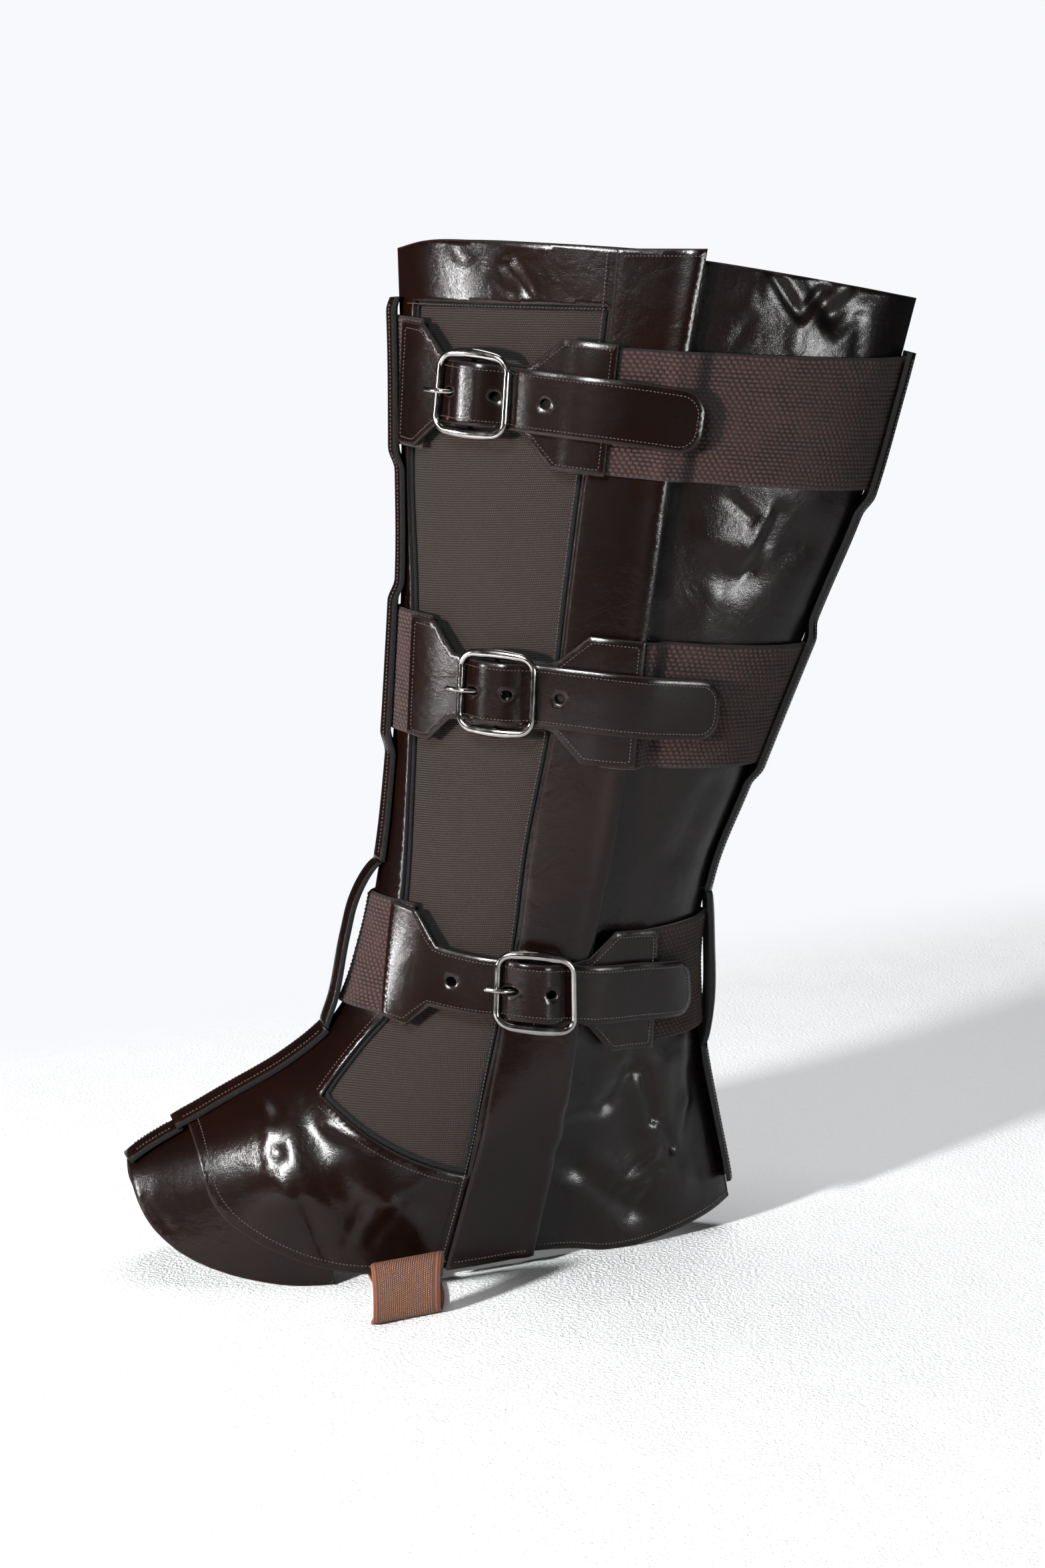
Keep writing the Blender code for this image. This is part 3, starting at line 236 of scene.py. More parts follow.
# %% Woven finishes
def wave(value, pitch):
    """Smooth wave from 0 to 1 that repeats once every pitch."""
    return maths("COSINE", value * (2 * pi / pitch)) * 0.5 + 0.5


def woven(along, across, pitch_along, pitch_across):
    """Heights of a plain weave: bumps in rows, every other row moved by half a bump."""
    row = maths("FLOOR", maths("DIVIDE", across, pitch_across) + 0.5)
    return wave(along + row * (pitch_along / 2), pitch_along), wave(across, pitch_across)


def mix_canvas():
    material, shader, place = new_finish("ribbed canvas", {
        "Roughness": 0.85, "Specular IOR Level": 0.15, "Sheen Weight": 0.02})
    stored = note(shader, "weave")
    along, across, _ = axes(stored)
    drift = noise(stored, 0.2)
    bumps, ribs = woven(along + drift * 1.2, across + drift * 0.5, 0.74, 0.92)
    height = ribs * (bumps * 0.75 + 0.25) * (noise(stored, 1.6) * 1.2 + 0.4)
    # The colour follows the weave's height: painted shade, dark in the hollows between yarns and
    # light on the yarn tops.
    hue = tinted(between(height, 0.05, 0.75), colour(0.0055, 0.0038, 0.0033),
                 colour(0.044, 0.0305, 0.026))
    fleck = between(noise(place, 0.02, 1.0), 0.3, 0.7, 0.0, 0.35)
    wire(shader, {"Base Color": tinted(fleck, hue, colour(0.018, 0.012, 0.010))})
    bumped(shader, (height, 0.32))
    return material


def mix_webbing():
    material, shader, place = new_finish("brown webbing", {
        "Roughness": 0.9, "Specular IOR Level": 0.15, "Sheen Weight": 0.08})
    stored = note(shader, "weave")
    along, across, height = axes(stored)
    twist = wave(along * 0.55 + across * 0.84 + noise(stored, 0.9) * 0.25, 0.40)
    fluff = noise(place, 2.6, 4.0, Roughness=0.7)
    # Painted shade from the yarn height: dark in the hollows between yarns, along the twist and at
    # the band's edges; the fluff adds fibre tone.
    shade = height * (twist * 0.35 + 0.75) * (fluff * 1.1 + 0.45)
    wire(shader, {"Base Color": tinted(between(shade, 0.15, 0.9), colour(0.003, 0.0014, 0.0012),
                                       colour(0.062, 0.0275, 0.0235))})
    bumped(shader, (twist, 0.10), (fluff, 0.18))
    return material


def mix_elastic():
    material, shader, _ = new_finish("tan elastic", {
        "Roughness": 0.7, "Specular IOR Level": 0.35})
    stored = note(shader, "weave")
    along, across, field = axes(stored)
    # The heights of the loops and of the edging ribs also set the colour: painted shade, dark in
    # the hollows between them.
    beads = wave(across, 0.87) * wave(along + noise(stored, 0.5, 1.0) * 0.5, 0.75) * field
    edging = wave(along, 0.55) * wave(across, 1.45) * (1.0 - field)
    hue = tinted(between(beads, 0.02, 0.75), colour(0.045, 0.010, 0.003),
                 colour(0.42, 0.20, 0.105))
    plain = tinted(edging, colour(0.125, 0.036, 0.013), colour(0.20, 0.066, 0.028))
    bright = between(noise(stored, 1.3), 0.35, 0.7, 0.0, 0.35)
    hue = tinted(bright, tinted(field, plain, hue), colour(0.15, 0.045, 0.018))
    wire(shader, {"Base Color": hue})
    bumped(shader, (beads + edging * 0.5, 0.3))
    return material


def mix_thread(name, dark, light):
    material, shader, place = new_finish(name, {"Roughness": 0.5})
    twist = noise(place, 2.5, 1.0)
    wire(shader, {"Base Color": tinted(between(twist, 0.35, 0.65), dark, light)})
    bumped(shader, (twist, 0.08))
    return material


canvas = mix_canvas()
webbing = mix_webbing()
elastic = mix_elastic()
thread = mix_thread("brown thread", colour(0.010, 0.0045, 0.0035), colour(0.034, 0.016, 0.012))
print("woven finishes:", [m.name for m in (canvas, webbing, elastic)])

# %% [markdown]
# ## Polished metal
# The buckles are cast, plated and polished to a dark mirror. A mirror shows the room, so the metal
# itself is simple: slightly uneven gloss, hairline scratches, and a darker grey than chrome.

# %% Metal
def mix_metal():
    material, shader, place = new_finish("dark polished nickel", {"Metallic": 1.0})
    cloud = noise(place, 0.25, 4.0)
    wire(shader, {
        "Base Color": tinted(cloud, colour(0.22, 0.205, 0.195), colour(0.36, 0.34, 0.32)),
        "Roughness": between(cloud, 0.3, 0.7, 0.10, 0.20)})
    bumped(shader, (noise(stretched(place, (0.4, 6.0, 6.0)), 0.8, 3.0), 0.006))
    return material


metal = mix_metal()
print("metal:", metal.name)

# %% [markdown]
# ## The curved surface that all panels share
# On the real cover every panel is cut flat and takes its curve from its neighbours when sewn. The
# solids were drawn as one surface: a stack of lens-shaped sections from the rim to the floor. The
# same surface is drawn again here, so that the dressed pieces lie exactly where the solids do.
# "u" runs round a section from the front seam (0) to the back seam (1). "v" runs from the rim (0)
# to the floor (about 1). The outer side of the cover faces the camera, towards -Y.

# %% Sections of the cover
def table(Kind, *rows):
    """Rows of plain values, given the names of their columns."""
    return [Kind(*row) for row in rows]


OUTER, INNER = -1, 1
Section = namedtuple("Section", "v front_x front_z back_x back_z half_width turn waist")
SECTIONS = table(
    Section,
    (0.00, -48, 412, 158, 392, 46, 0, 0.00),
    (0.10, -47, 371, 148, 351, 46, 0, 0.00),
    (0.20, -47, 330, 137, 311, 45, 0, 0.00),
    (0.30, -47, 289, 121, 271, 44, 0, 0.00),
    (0.40, -49, 248, 106, 232, 43, 1, 0.00),
    (0.50, -52, 206, 92, 194, 41, 3, 0.00),
    (0.60, -57, 165, 79, 158, 39, 6, 0.00),
    (0.68, -64, 132, 74, 126, 38, 9, 0.00),
    (0.75, -75, 104, 75, 101, 39, 11, 0.04),
    (0.82, -98, 84, 78, 77, 41, 12, 0.10),
    (0.88, -131, 67, 83, 53, 42, 13, 0.18),
    (0.94, -166, 47, 88, 29, 42, 13, 0.26),
    (1.00, -186, 18, 92, 6, 42, 13, 0.32),
    (1.06, -192, -10, 94, -12, 42, 13, 0.34),
)
SECTION_TABLE = np.array(SECTIONS, float)
LENS_ANGLE = radians(75)
WAIST_START, WAIST_LENGTH = 0.45, 0.30
SEAM_GAP = 0.3
V_MM = 415                               # height of the cover, millimetres for one unit of v


def smooth_curve(at, knots, values):
    """Cubic curve through the rows of values at the knots."""
    at = np.asarray(at, float)
    slope = np.gradient(values, knots, axis=0)
    i = np.clip(np.searchsorted(knots, at, side="right") - 1, 0, len(knots) - 2)
    step = knots[i + 1] - knots[i]
    t = ((at - knots[i]) / step)[..., None]
    step = step[..., None]
    return ((2 * t**3 - 3 * t**2 + 1) * values[i] + (t**3 - 2 * t**2 + t) * step * slope[i]
            + (3 * t**2 - 2 * t**3) * values[i + 1] + (t**3 - t**2) * step * slope[i + 1])


def section_at(v):
    rows = smooth_curve(v, SECTION_TABLE[:, 0], SECTION_TABLE[:, 1:])
    return Section(v, *np.moveaxis(rows, -1, 0))


def smooth_step(t):
    t = np.clip(t, 0, 1)
    return t * t * (3 - 2 * t)


def side_view(u, v):
    """Side-view x and z, and depth from the middle plane, of the bare surface."""
    s = section_at(v)
    angle = (2 * u - 1) * LENS_ANGLE
    chord = (1 + np.sin(angle) / sin(LENS_ANGLE)) / 2
    depth = s.half_width * (np.cos(angle) - cos(LENS_ANGLE)) / (1 - cos(LENS_ANGLE))
    depth = depth * (1 - s.waist * smooth_step((chord - WAIST_START) / WAIST_LENGTH))
    return (s.front_x + (s.back_x - s.front_x) * chord,
            s.front_z + (s.back_z - s.front_z) * chord, depth)


def bare(u, v, side):
    """Point of the bare surface. The foot is turned a little towards the outer side."""
    x, z, depth = side_view(u, v)
    y = side * depth
    a = np.radians(section_at(v).turn)
    return np.stack([x * np.cos(a) - y * np.sin(a), x * np.sin(a) + y * np.cos(a), z], -1)


def unit(vectors):
    return vectors / np.linalg.norm(vectors, axis=-1, keepdims=True)


def distances(line):
    """How far along a line each of its points is."""
    steps = np.diff(line, axis=0)
    steps = np.hypot(*steps.T) if steps.shape[1] == 2 else np.linalg.norm(steps, axis=1)
    return np.concatenate([[0], np.cumsum(steps)])


def normal_at(u, v, side):
    step = 1e-4
    near = np.clip(u, step, 1 - step)
    along_u = bare(near + step, v, side) - bare(near - step, v, side)
    along_v = bare(near, v + step, side) - bare(near, v - step, side)
    return unit(side * np.cross(along_u, along_v))


def seam_normal(v, seam):
    """Direction straight out from a seam, halfway between its two sides."""
    end = np.full(v.shape, float(seam))
    return unit(normal_at(end, v, OUTER) + normal_at(end, v, INNER))


def find_uv(x, z):
    """u and v of side-view points; points beyond a seam land on it."""
    x, z = np.asarray(x, float), np.asarray(z, float)
    low, high = np.full(x.shape, -0.06), np.full(x.shape, SECTIONS[-1].v)
    for _ in range(30):
        v = (low + high) / 2
        s = section_at(v)
        above = ((s.back_x - s.front_x) * (z - s.front_z)
                 - (s.back_z - s.front_z) * (x - s.front_x)) > 0
        high = np.where(above, v, high)
        low = np.where(above, low, v)
    s = section_at(v)
    across_x, across_z = s.back_x - s.front_x, s.back_z - s.front_z
    chord = (x - s.front_x) * across_x + (z - s.front_z) * across_z
    chord = np.clip(chord / (across_x**2 + across_z**2), 0, 1)
    angle = np.arcsin(np.clip((2 * chord - 1) * sin(LENS_ANGLE), -1, 1))
    return (angle / LENS_ANGLE + 1) / 2, v


middle = bare(np.array(0.5), np.array(0.3), OUTER)
print("the outer side's middle at v 0.3 is", middle.round(1), "mm")

# %% [markdown]
# ## Folds and creases
# Leather that has been worn keeps soft folds, such as the V below the rim, and the fan over the
# instep. Each one is a line with a depth and a width, and its height fades to both sides. The large
# ones are in the solids as well. The creases, and two soft bulges by the ankle, come on top of them
# and are here only, because creases need a much finer mesh. Sculpting them by hand would be free,
# but it couldn't be repeated.

# %% Folds and creases
Fold = namedtuple("Fold", "side x0 z0 x1 z1 depth width")
# Each row says where the fold starts and ends in the side view, its depth and its width.
FOLDS = table(
    Fold,
    (OUTER, 110, 404, 122, 386, -1.8, 5.5), (OUTER, 122, 386, 137, 398, -1.8, 5.5),
    (OUTER, 88, 392, 98, 402, 1.2, 7.0), (OUTER, 112, 298, 86, 284, -1.6, 8.0),
    (OUTER, 74, 300, 96, 292, 1.2, 7.0), (OUTER, 76, 196, 62, 170, -1.4, 7.0),
    (OUTER, -96, 70, -78, 34, -1.6, 7.0), (OUTER, -108, 62, -102, 38, 1.4, 7.0),
    (OUTER, -84, 50, -56, 24, 1.2, 7.0), (OUTER, 36, 74, 42, 36, -1.8, 8.0),
    (OUTER, 56, 78, 54, 40, 1.5, 8.0), (OUTER, 72, 70, 74, 30, -1.2, 7.0),
    (OUTER, 26, 30, 46, 16, -1.2, 7.0), (INNER, 100, 400, 112, 388, -1.6, 6.0),
    (INNER, 104, 300, 80, 286, -1.6, 8.0), (INNER, -6, 300, 8, 272, 1.2, 9.0),
    (INNER, 70, 196, 56, 168, -1.5, 8.0), (INNER, -28, 190, -18, 162, 1.3, 8.0),
    (INNER, -92, 66, -74, 32, -1.8, 8.0), (INNER, -66, 54, -50, 26, 1.4, 8.0),
    (INNER, 36, 74, 42, 36, -1.8, 9.0), (INNER, 62, 70, 64, 34, 1.4, 9.0),
)
CREASES = [Fold(OUTER, *row) for row in (
    (96, 403, 108, 386, -1.7, 2.4), (123, 400, 110, 387, -1.0, 2.4),
    (117, 396, 111, 390, -0.6, 1.8), (108, 385, 106, 373, 0.7, 3.5),
    (92, 403, 91, 393, -0.4, 1.8), (88, 385, 82, 376, -0.5, 1.9), (133, 386, 123, 378, -0.5, 1.8),
    (133, 384, 132, 372, -0.7, 3.5), (112, 385, 128, 395, 0.5, 3.0),
    (102, 309, 90, 286, -1.2, 3.4), (82, 315, 90, 307, -0.7, 2.2), (97, 308, 87, 289, 0.7, 3.0),
    (76, 276, 71, 260, 0.7, 5.0), (59, 303, 58, 277, 0.5, 4.5), (46, 77, 51, 55, -2.2, 1.8),
    (54, 55, 60, 41, -1.5, 1.8), (43, 88, 41, 78, -1.2, 4.0), (41, 78, 29, 65, -1.2, 4.0),
    (29, 65, 9, 64, -1.0, 4.5), (6, 48, 17, 38, -1.2, 5.0), (17, 38, 43, 17, -1.4, 5.0),
    (65, 87, 67, 60, 0.9, 4.0), (67, 60, 63, 47, 0.8, 4.0), (36, 30, 51, 41, -0.6, 1.8),
    (41, 25, 54, 34, -0.5, 1.8), (46, 18, 52, 29, -0.6, 1.8), (-98, 35, -90, 13, -0.9, 2.0),
    (-100, 37, -94, 24, -0.6, 1.7), (-72, 19, -59, 36, -0.7, 2.1), (-75, 34, -82, 19, -0.6, 2.1),
    (-106, 69, -107, 54, -0.9, 3.2), (-107, 54, -101, 40, -0.8, 3.0),
    (-110, 57, -109, 48, -0.4, 1.7), (-114, 62, -114, 50, -0.4, 1.7),
    (-93, 42, -85, 32, -0.5, 1.7), (-88, 65, -72, 58, 0.8, 3.0), (-49, 43, -62, 34, 0.6, 4.0),
    (-63, 19, -62, 10, -0.4, 1.8), (-160, 34, -152, 23, -0.4, 1.8), (-5, 407, 3, 395, -0.9, 2.0),
    (-7, 405, -2, 395, -0.6, 1.8), (-10, 401, -5, 395, -0.4, 1.6), (-25, 412, -21, 408, 0.5, 3.0),
    (22, 33, 64, 26, 2.4, 11.0), (-104, 39, -76, 31, 2.4, 12.0),
)]
RIDGE = []                               # one long ridge, from segments that must not add up


def fold_height(fold, x, z):
    along_x, along_z = fold.x1 - fold.x0, fold.z1 - fold.z0
    t = ((x - fold.x0) * along_x + (z - fold.z0) * along_z) / (along_x**2 + along_z**2)
    near = np.clip(t, 0, 1)
    away = np.hypot(x - fold.x0 - near * along_x, z - fold.z0 - near * along_z)
    return fold.depth * np.exp(-(away / fold.width)**2)


def relief(u, v, side):
    """Height of the folds and creases at a point."""
    x, z, _ = side_view(u, v)
    height, ridge = np.zeros(np.shape(x)), np.zeros(np.shape(x))
    for fold in FOLDS + CREASES:
        if fold.side == side:
            height = height + fold_height(fold, x, z)
    if side == OUTER:
        for fold in RIDGE:
            ridge = np.maximum(ridge, fold_height(fold, x, z))
    return height + ridge


def skin(u, v, side, lift):
    """Point at a lift above the bare surface of one side, kept to its side of the seams."""
    u, v = np.asarray(u, float), np.asarray(v, float)
    height = (np.asarray(lift, float) + relief(u, v, side))[..., None]
    p = bare(u, v, side) + normal_at(u, v, side) * height
    a = np.radians(section_at(v).turn)
    across = -p[..., 0] * np.sin(a) + p[..., 1] * np.cos(a)
    move = np.maximum(SEAM_GAP / 2 - side * across, 0) * side
    p[..., 0] -= move * np.sin(a)
    p[..., 1] += move * np.cos(a)
    return p


print(len(FOLDS), "folds and", len(CREASES), "creases")

# %% [markdown]
# ## From a flat pattern to a leather piece
# A leather worker cuts each piece from a flat hide along a paper pattern, and so does this helper.
# It fills an outline with even triangles, lays them on the surface twice, once for the face and
# once for the back, and joins both with a slightly rounded edge. The cut edge gets its own black
# fibrous finish, which is what draws the thin dark lines on the real cover. A modifier could
# thicken a single sheet too, but then the edge couldn't be rounded and finished on its own.

# %% Pattern pieces
EDGE_ROUND = 0.28                        # mm of rounding where a face meets a cut edge


def half_girth(v):
    """Millimetres along one side of a section, from seam to seam."""
    s = section_at(v)
    return 1.06 * np.hypot(s.back_x - s.front_x, s.back_z - s.front_z) + 0.35 * s.half_width


def to_flat(uv):
    """Rough flat pattern of the surface, in millimetres."""
    return np.stack([(uv[:, 0] - 0.5) * half_girth(uv[:, 1]), uv[:, 1] * V_MM], -1)


def from_flat(flat):
    v = flat[:, 1] / V_MM
    return np.clip(flat[:, 0] / half_girth(v) + 0.5, 0, 1), v


def signed_area(loop):
    x, y = loop[:, 0], loop[:, 1]
    return 0.5 * np.sum(x * np.roll(y, -1) - y * np.roll(x, -1))


def grown(loop, distance):
    """Closed outline moved outward (inward if the distance is negative)."""
    tangent = np.roll(loop, -1, axis=0) - np.roll(loop, 1, axis=0)
    tangent /= np.maximum(np.linalg.norm(tangent, axis=1, keepdims=True), 1e-9)
    out = np.stack([tangent[:, 1], -tangent[:, 0]], -1) * np.sign(signed_area(loop))
    return loop + out * distance


def left_of(line):
    """Unit vectors that point to the left of a flat line."""
    tangent = unit(np.gradient(line, axis=0))
    return np.stack([-tangent[:, 1], tangent[:, 0]], -1)


def inside(points, loop):
    x, y = points[:, 0:1], points[:, 1:2]
    x0, y0 = loop[:, 0], loop[:, 1]
    x1, y1 = np.roll(x0, -1), np.roll(y0, -1)
    crosses = (y0 > y) != (y1 > y)
    with np.errstate(divide="ignore", invalid="ignore"):
        at = x0 + (y - y0) * (x1 - x0) / (y1 - y0)
    return (np.sum(crosses & (x < at), axis=1) % 2).astype(bool)


def in_cut(points, loops):
    """Which points lie inside the first loop and outside the others."""
    keep = inside(points, loops[0])
    for hole in loops[1:]:
        keep &= ~inside(points, hole)
    return keep


def distance_to(points, loop):
    """Distance from each point to the nearest edge of a loop."""
    start, d = loop, np.roll(loop, -1, axis=0) - loop
    square = np.maximum((d * d).sum(-1), 1e-9)
    nearest = np.full(len(points), 1e9)
    for first in range(0, len(points), 2000):
        away = points[first:first + 2000, None] - start
        t = np.clip((away * d).sum(-1) / square, 0, 1)
        nearest[first:first + 2000] = np.linalg.norm(away - t[..., None] * d, axis=-1).min(axis=1)
    return nearest


def cleaned_inset(loop, distance):
    """Line at a distance inside an outline, without the tangles at sharp corners."""
    moved = grown(loop, -distance)
    return moved[(distance_to(moved, loop) > 0.96 * distance) & inside(moved, loop)]


def fill(loops, grid):
    """Even triangles inside the first loop and outside the others."""
    low, high = loops[0].min(axis=0), loops[0].max(axis=0)
    rows = np.arange(low[1] + grid / 2, high[1], grid * 0.87)
    inner = []
    for k, y in enumerate(rows):
        x = np.arange(low[0] + grid / 2 * (1 + k % 2), high[0], grid)
        inner.append(np.stack([x, np.full(len(x), y)], -1))
    inner = np.concatenate(inner)
    inner = inner[in_cut(inner, loops)]
    for ring in loops:
        inner = inner[distance_to(inner, ring) > grid * 0.5]
    points = np.concatenate([*loops, inner])
    edges, first = [], 0
    for ring in loops:
        edges += [(first + i, first + (i + 1) % len(ring)) for i in range(len(ring))]
        first += len(ring)
    verts, _, faces, sources, *_ = delaunay_2d_cdt([Vector(p) for p in points], edges, [], 1, 1e-6)
    verts = np.array([(p.x, p.y) for p in verts])
    faces = np.array([list(f) for f in faces])
    keep = in_cut(verts[faces].mean(axis=1), loops)
    place = {}
    for index, listed in enumerate(sources):
        for source in listed:
            place[source] = index
    return verts, faces[keep], [place[i] for i in range(first)]


def add_piece(name, points, faces, finishes, which=None, notes=None, stands_for=()):
    """Mesh piece in the scene, from millimetre points. It rides on the one body there is."""
    mesh = bpy.data.meshes.new(name)
    mesh.from_pydata(((np.asarray(points) + SHIFT) * MM).tolist(), [],
                     [tuple(int(i) for i in f) for f in faces])
    for finish in finishes:
        mesh.materials.append(finish)
    if which is not None:
        mesh.polygons.foreach_set("material_index", np.asarray(which, np.int32))
    mesh.shade_smooth()
    for key, values in (notes or {}).items():
        note = mesh.attributes.new(key, "FLOAT_VECTOR", "POINT")
        note.data.foreach_set("vector", np.asarray(values, np.float32).ravel())
    mesh.update()
    piece = bpy.data.objects.new(name, mesh)
    bpy.context.scene.collection.objects.link(piece)
    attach(piece, "root")
    if stands_for:
        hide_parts(*stands_for)
    return piece


def cut_piece(name, loops, lay, thickness, finishes, grid=2.6, stands_for=(),
              weave=None):
    """A flat pattern, with holes, laid in place as a closed body with rounded cut edges.
    finishes are those of its face, its back and its edge; lay(flat, height) gives the points."""
    loops = [ring if (signed_area(ring) > 0) == (k == 0) else ring[::-1]
             for k, ring in enumerate(loops)]
    rims = [grown(ring, -EDGE_ROUND if k == 0 else EDGE_ROUND) for k, ring in enumerate(loops)]
    flat, faces, rim_index = fill(rims, grid)
    turned_over = np.array([signed_area(flat[f]) < 0 for f in faces])
    faces[turned_over] = faces[turned_over][:, ::-1]
    edge = np.min([distance_to(flat, ring) for ring in loops], axis=0)
    cuts = np.concatenate(loops)
    count, ring_count = len(flat), len(cuts)
    heights = (thickness, 0.0, thickness - EDGE_ROUND, EDGE_ROUND)
    points = np.concatenate([lay(p, np.full(len(p), h))
                             for p, h in zip((flat, flat, cuts, cuts), heights)])
    solid = [tuple(f) for f in faces] + [tuple(f[::-1] + count) for f in faces]
    which = [0] * len(faces) + [1] * len(faces)
    first = 0
    for ring in loops:
        for i in range(len(ring)):
            a, b = first + i, first + (i + 1) % len(ring)
            top_a, top_b = rim_index[a], rim_index[b]
            up_a, up_b = 2 * count + a, 2 * count + b
            solid += [(top_b, top_a, up_a, up_b),
                      (up_b, up_a, up_a + ring_count, up_b + ring_count),
                      (up_b + ring_count, up_a + ring_count, top_a + count, top_b + count)]
        first += len(ring)
    which += [2] * (len(solid) - len(which))
    patterns = np.concatenate([flat, flat, cuts, cuts])
    from_edge = np.concatenate([edge, edge, np.zeros(2 * ring_count)])
    notes = {"cut": np.column_stack([patterns, from_edge])}
    if weave:
        notes["weave"] = weave(patterns)
    return add_piece(name, points, facing_out(points, solid), finishes, which, notes, stands_for)


def volume(points, faces):
    """Six times the volume inside triangles and quads; negative if they face inward."""
    points, total = np.asarray(points, float), 0.0
    for corners in (3, 4):
        group = np.array([f for f in faces if len(f) == corners], int).reshape(-1, corners)
        for k in range(1, corners - 1):
            turned = np.cross(points[group[:, k]], points[group[:, k + 1]])
            total += np.sum(points[group[:, 0]] * turned)
    return total


def facing_out(points, faces):
    return faces if volume(points, faces) >= 0 else [f[::-1] for f in faces]


def grid_faces(rows, columns, first=0):
    """Quads between the points of a grid that is stored row by row."""
    corners = [(first + i * columns + j, first + (i + 1) * columns + j)
               for i in range(rows - 1) for j in range(columns - 1)]
    return [(a, a + 1, b + 1, b) for a, b in corners]


def tube_faces(rings, sides, closed=False):
    """Quads round a tube that is stored ring by ring, and its two ends if it isn't closed."""
    faces = [(i * sides + k, i * sides + (k + 1) % sides,
              (i + 1) % rings * sides + (k + 1) % sides, (i + 1) % rings * sides + k)
             for i in range(rings if closed else rings - 1) for k in range(sides)]
    ends = [tuple(range(sides))[::-1], tuple(range((rings - 1) * sides, rings * sides))]
    return faces if closed else faces + ends


def point_rows(*grids):
    """All points of several grids, one after the other."""
    return np.concatenate([np.reshape(grid, (-1, 3)) for grid in grids])


print("pattern helpers are ready; cut edges are rounded by", EDGE_ROUND, "mm")

# %% [markdown]
# ## Stitches
# Each seam is lockstitched with brown thread, a stitch every 1.5 mm. From the front a stitch is a
# short rounded bar that dips into the leather at both ends. Drawing them as a dotted bump would
# look flat beside the buckles, so each one is a small tube. One helper sews along any line of a
# pattern and keeps all stitches of a piece in one mesh.

# %% Sewing
STITCH_PITCH, STITCH_LENGTH, THREAD_RADIUS = 1.5, 1.08, 0.23
SIDES_OF_THREAD = 5
shuffle = np.random.default_rng(7)


def along_line(line, spacing):
    """Points of a line about a spacing apart."""
    far = distances(line)
    at = np.linspace(0, far[-1], max(2, int(far[-1] / spacing) + 1))
    return np.stack([np.interp(at, far, line[:, k]) for k in range(2)], -1)


def sew(name, rows):
    """Stitches along rows of (line, lay) or (line, lay, height), in pattern millimetres."""
    verts, faces = [], []
    reach = np.array([-1.0, -0.5, 0.5, 1.0])
    rise = np.array([-0.20, 0.16, 0.16, -0.20])
    thick = np.array([0.55, 1.0, 1.0, 0.55]) * THREAD_RADIUS
    turns = 2 * pi * np.arange(SIDES_OF_THREAD) / SIDES_OF_THREAD
    stitch_faces = np.array(tube_faces(len(reach), SIDES_OF_THREAD)[:-2])   # its ends are hidden
    for line, lay, *height in rows:
        line = along_line(np.asarray(line, float), 0.5)
        height = np.full(len(line), height[0] if height else 0.0)
        base, above = lay(line, height), lay(line, height + 1.0)
        far = distances(base)
        centres = np.arange(STITCH_PITCH / 2, far[-1] - STITCH_PITCH / 3, STITCH_PITCH)
        centres = centres + shuffle.normal(0, 0.05, len(centres))
        for centre in centres:
            at = centre + reach * STITCH_LENGTH / 2
            p = np.stack([np.interp(at, far, base[:, k]) for k in range(3)], -1)
            top = np.array([np.interp(centre, far, above[:, k]) for k in range(3)])
            up = unit(top - np.array([np.interp(centre, far, base[:, k]) for k in range(3)]))
            forward = p[-1] - p[0]
            forward /= max(np.linalg.norm(forward), 1e-6)
            across = np.cross(forward, up)
            swing = across * shuffle.normal(0, 0.07)
            p = p + up * rise[:, None] + swing * np.array([-1, -0.4, 0.4, 1])[:, None]
            ring = (across[None] * np.cos(turns)[:, None] + up[None] * np.sin(turns)[:, None])
            faces.extend(stitch_faces + len(verts))
            verts.extend((p[:, None] + ring[None] * thick[:, None, None]).reshape(-1, 3))
    add_piece(name, verts, faces, [thread])
    print(name, "has", len(faces) // len(stitch_faces), "stitches")


# %% [markdown]
# ## The outlines of the panels
# The outlines are drawn in the side view, as a pattern maker would trace them on a lay figure. Each
# runs through a few measured points on a smooth curve. The cover has a toe piece, a front panel
# with a window, and a back panel on each side, and a long placket on the outer side only.

# %% Panel outlines
RIM_FRONT = ((-48, 412), (-39, 414.6), (-19, 415), (10, 413.7), (34, 412.3), (58, 410.6))
RIM_BACK = ((46, 409.6), (72, 407), (101, 402.5), (132, 397), (158, 392))
VAMP_FRONT_EDGE = ((-141, 63.5), (-139, 56), (-137, 46), (-134.5, 36), (-129, 28), (-121, 21.5),
                   (-106.5, 13.5), (-91.5, 8), (-73, 5), (-50, 4.6), (-14, 4.6))
TOE_EDGE = ((-166, 47), (-164, 35.5), (-159.5, 25.5), (-151, 16.5), (-143.5, 11.5), (-132, 6.5),
            (-117, 2.4), (-105, 0.5), (-95, 0.1), (-87, 0.4))
TOE_BACK_EDGE = ((-87, 0.4), (-89, 15), (-98, 24), (-109, 33), (-117, 44), (-122, 72))
HEEL_HEM = ((91, 12.5), (80, 8.6), (65.5, 4.6), (45.5, 0.7), (29.5, 0.3), (16, 2.6), (-1.5, 4.2),
            (-22, 4.4))
WINDOW_FRONT = ((-41.5, 391.5), (-44.6, 324), (-43.3, 274), (-46, 198), (-51, 147), (-60.5, 104))
WINDOW_INSTEP = ((-60.5, 104), (-88.4, 74.5))
WINDOW_BOTTOM = ((-88.4, 74.5), (-74.6, 62.6), (-57, 52), (-42, 46), (-32.5, 43))
PlacketRow = namedtuple("PlacketRow", "z left right")
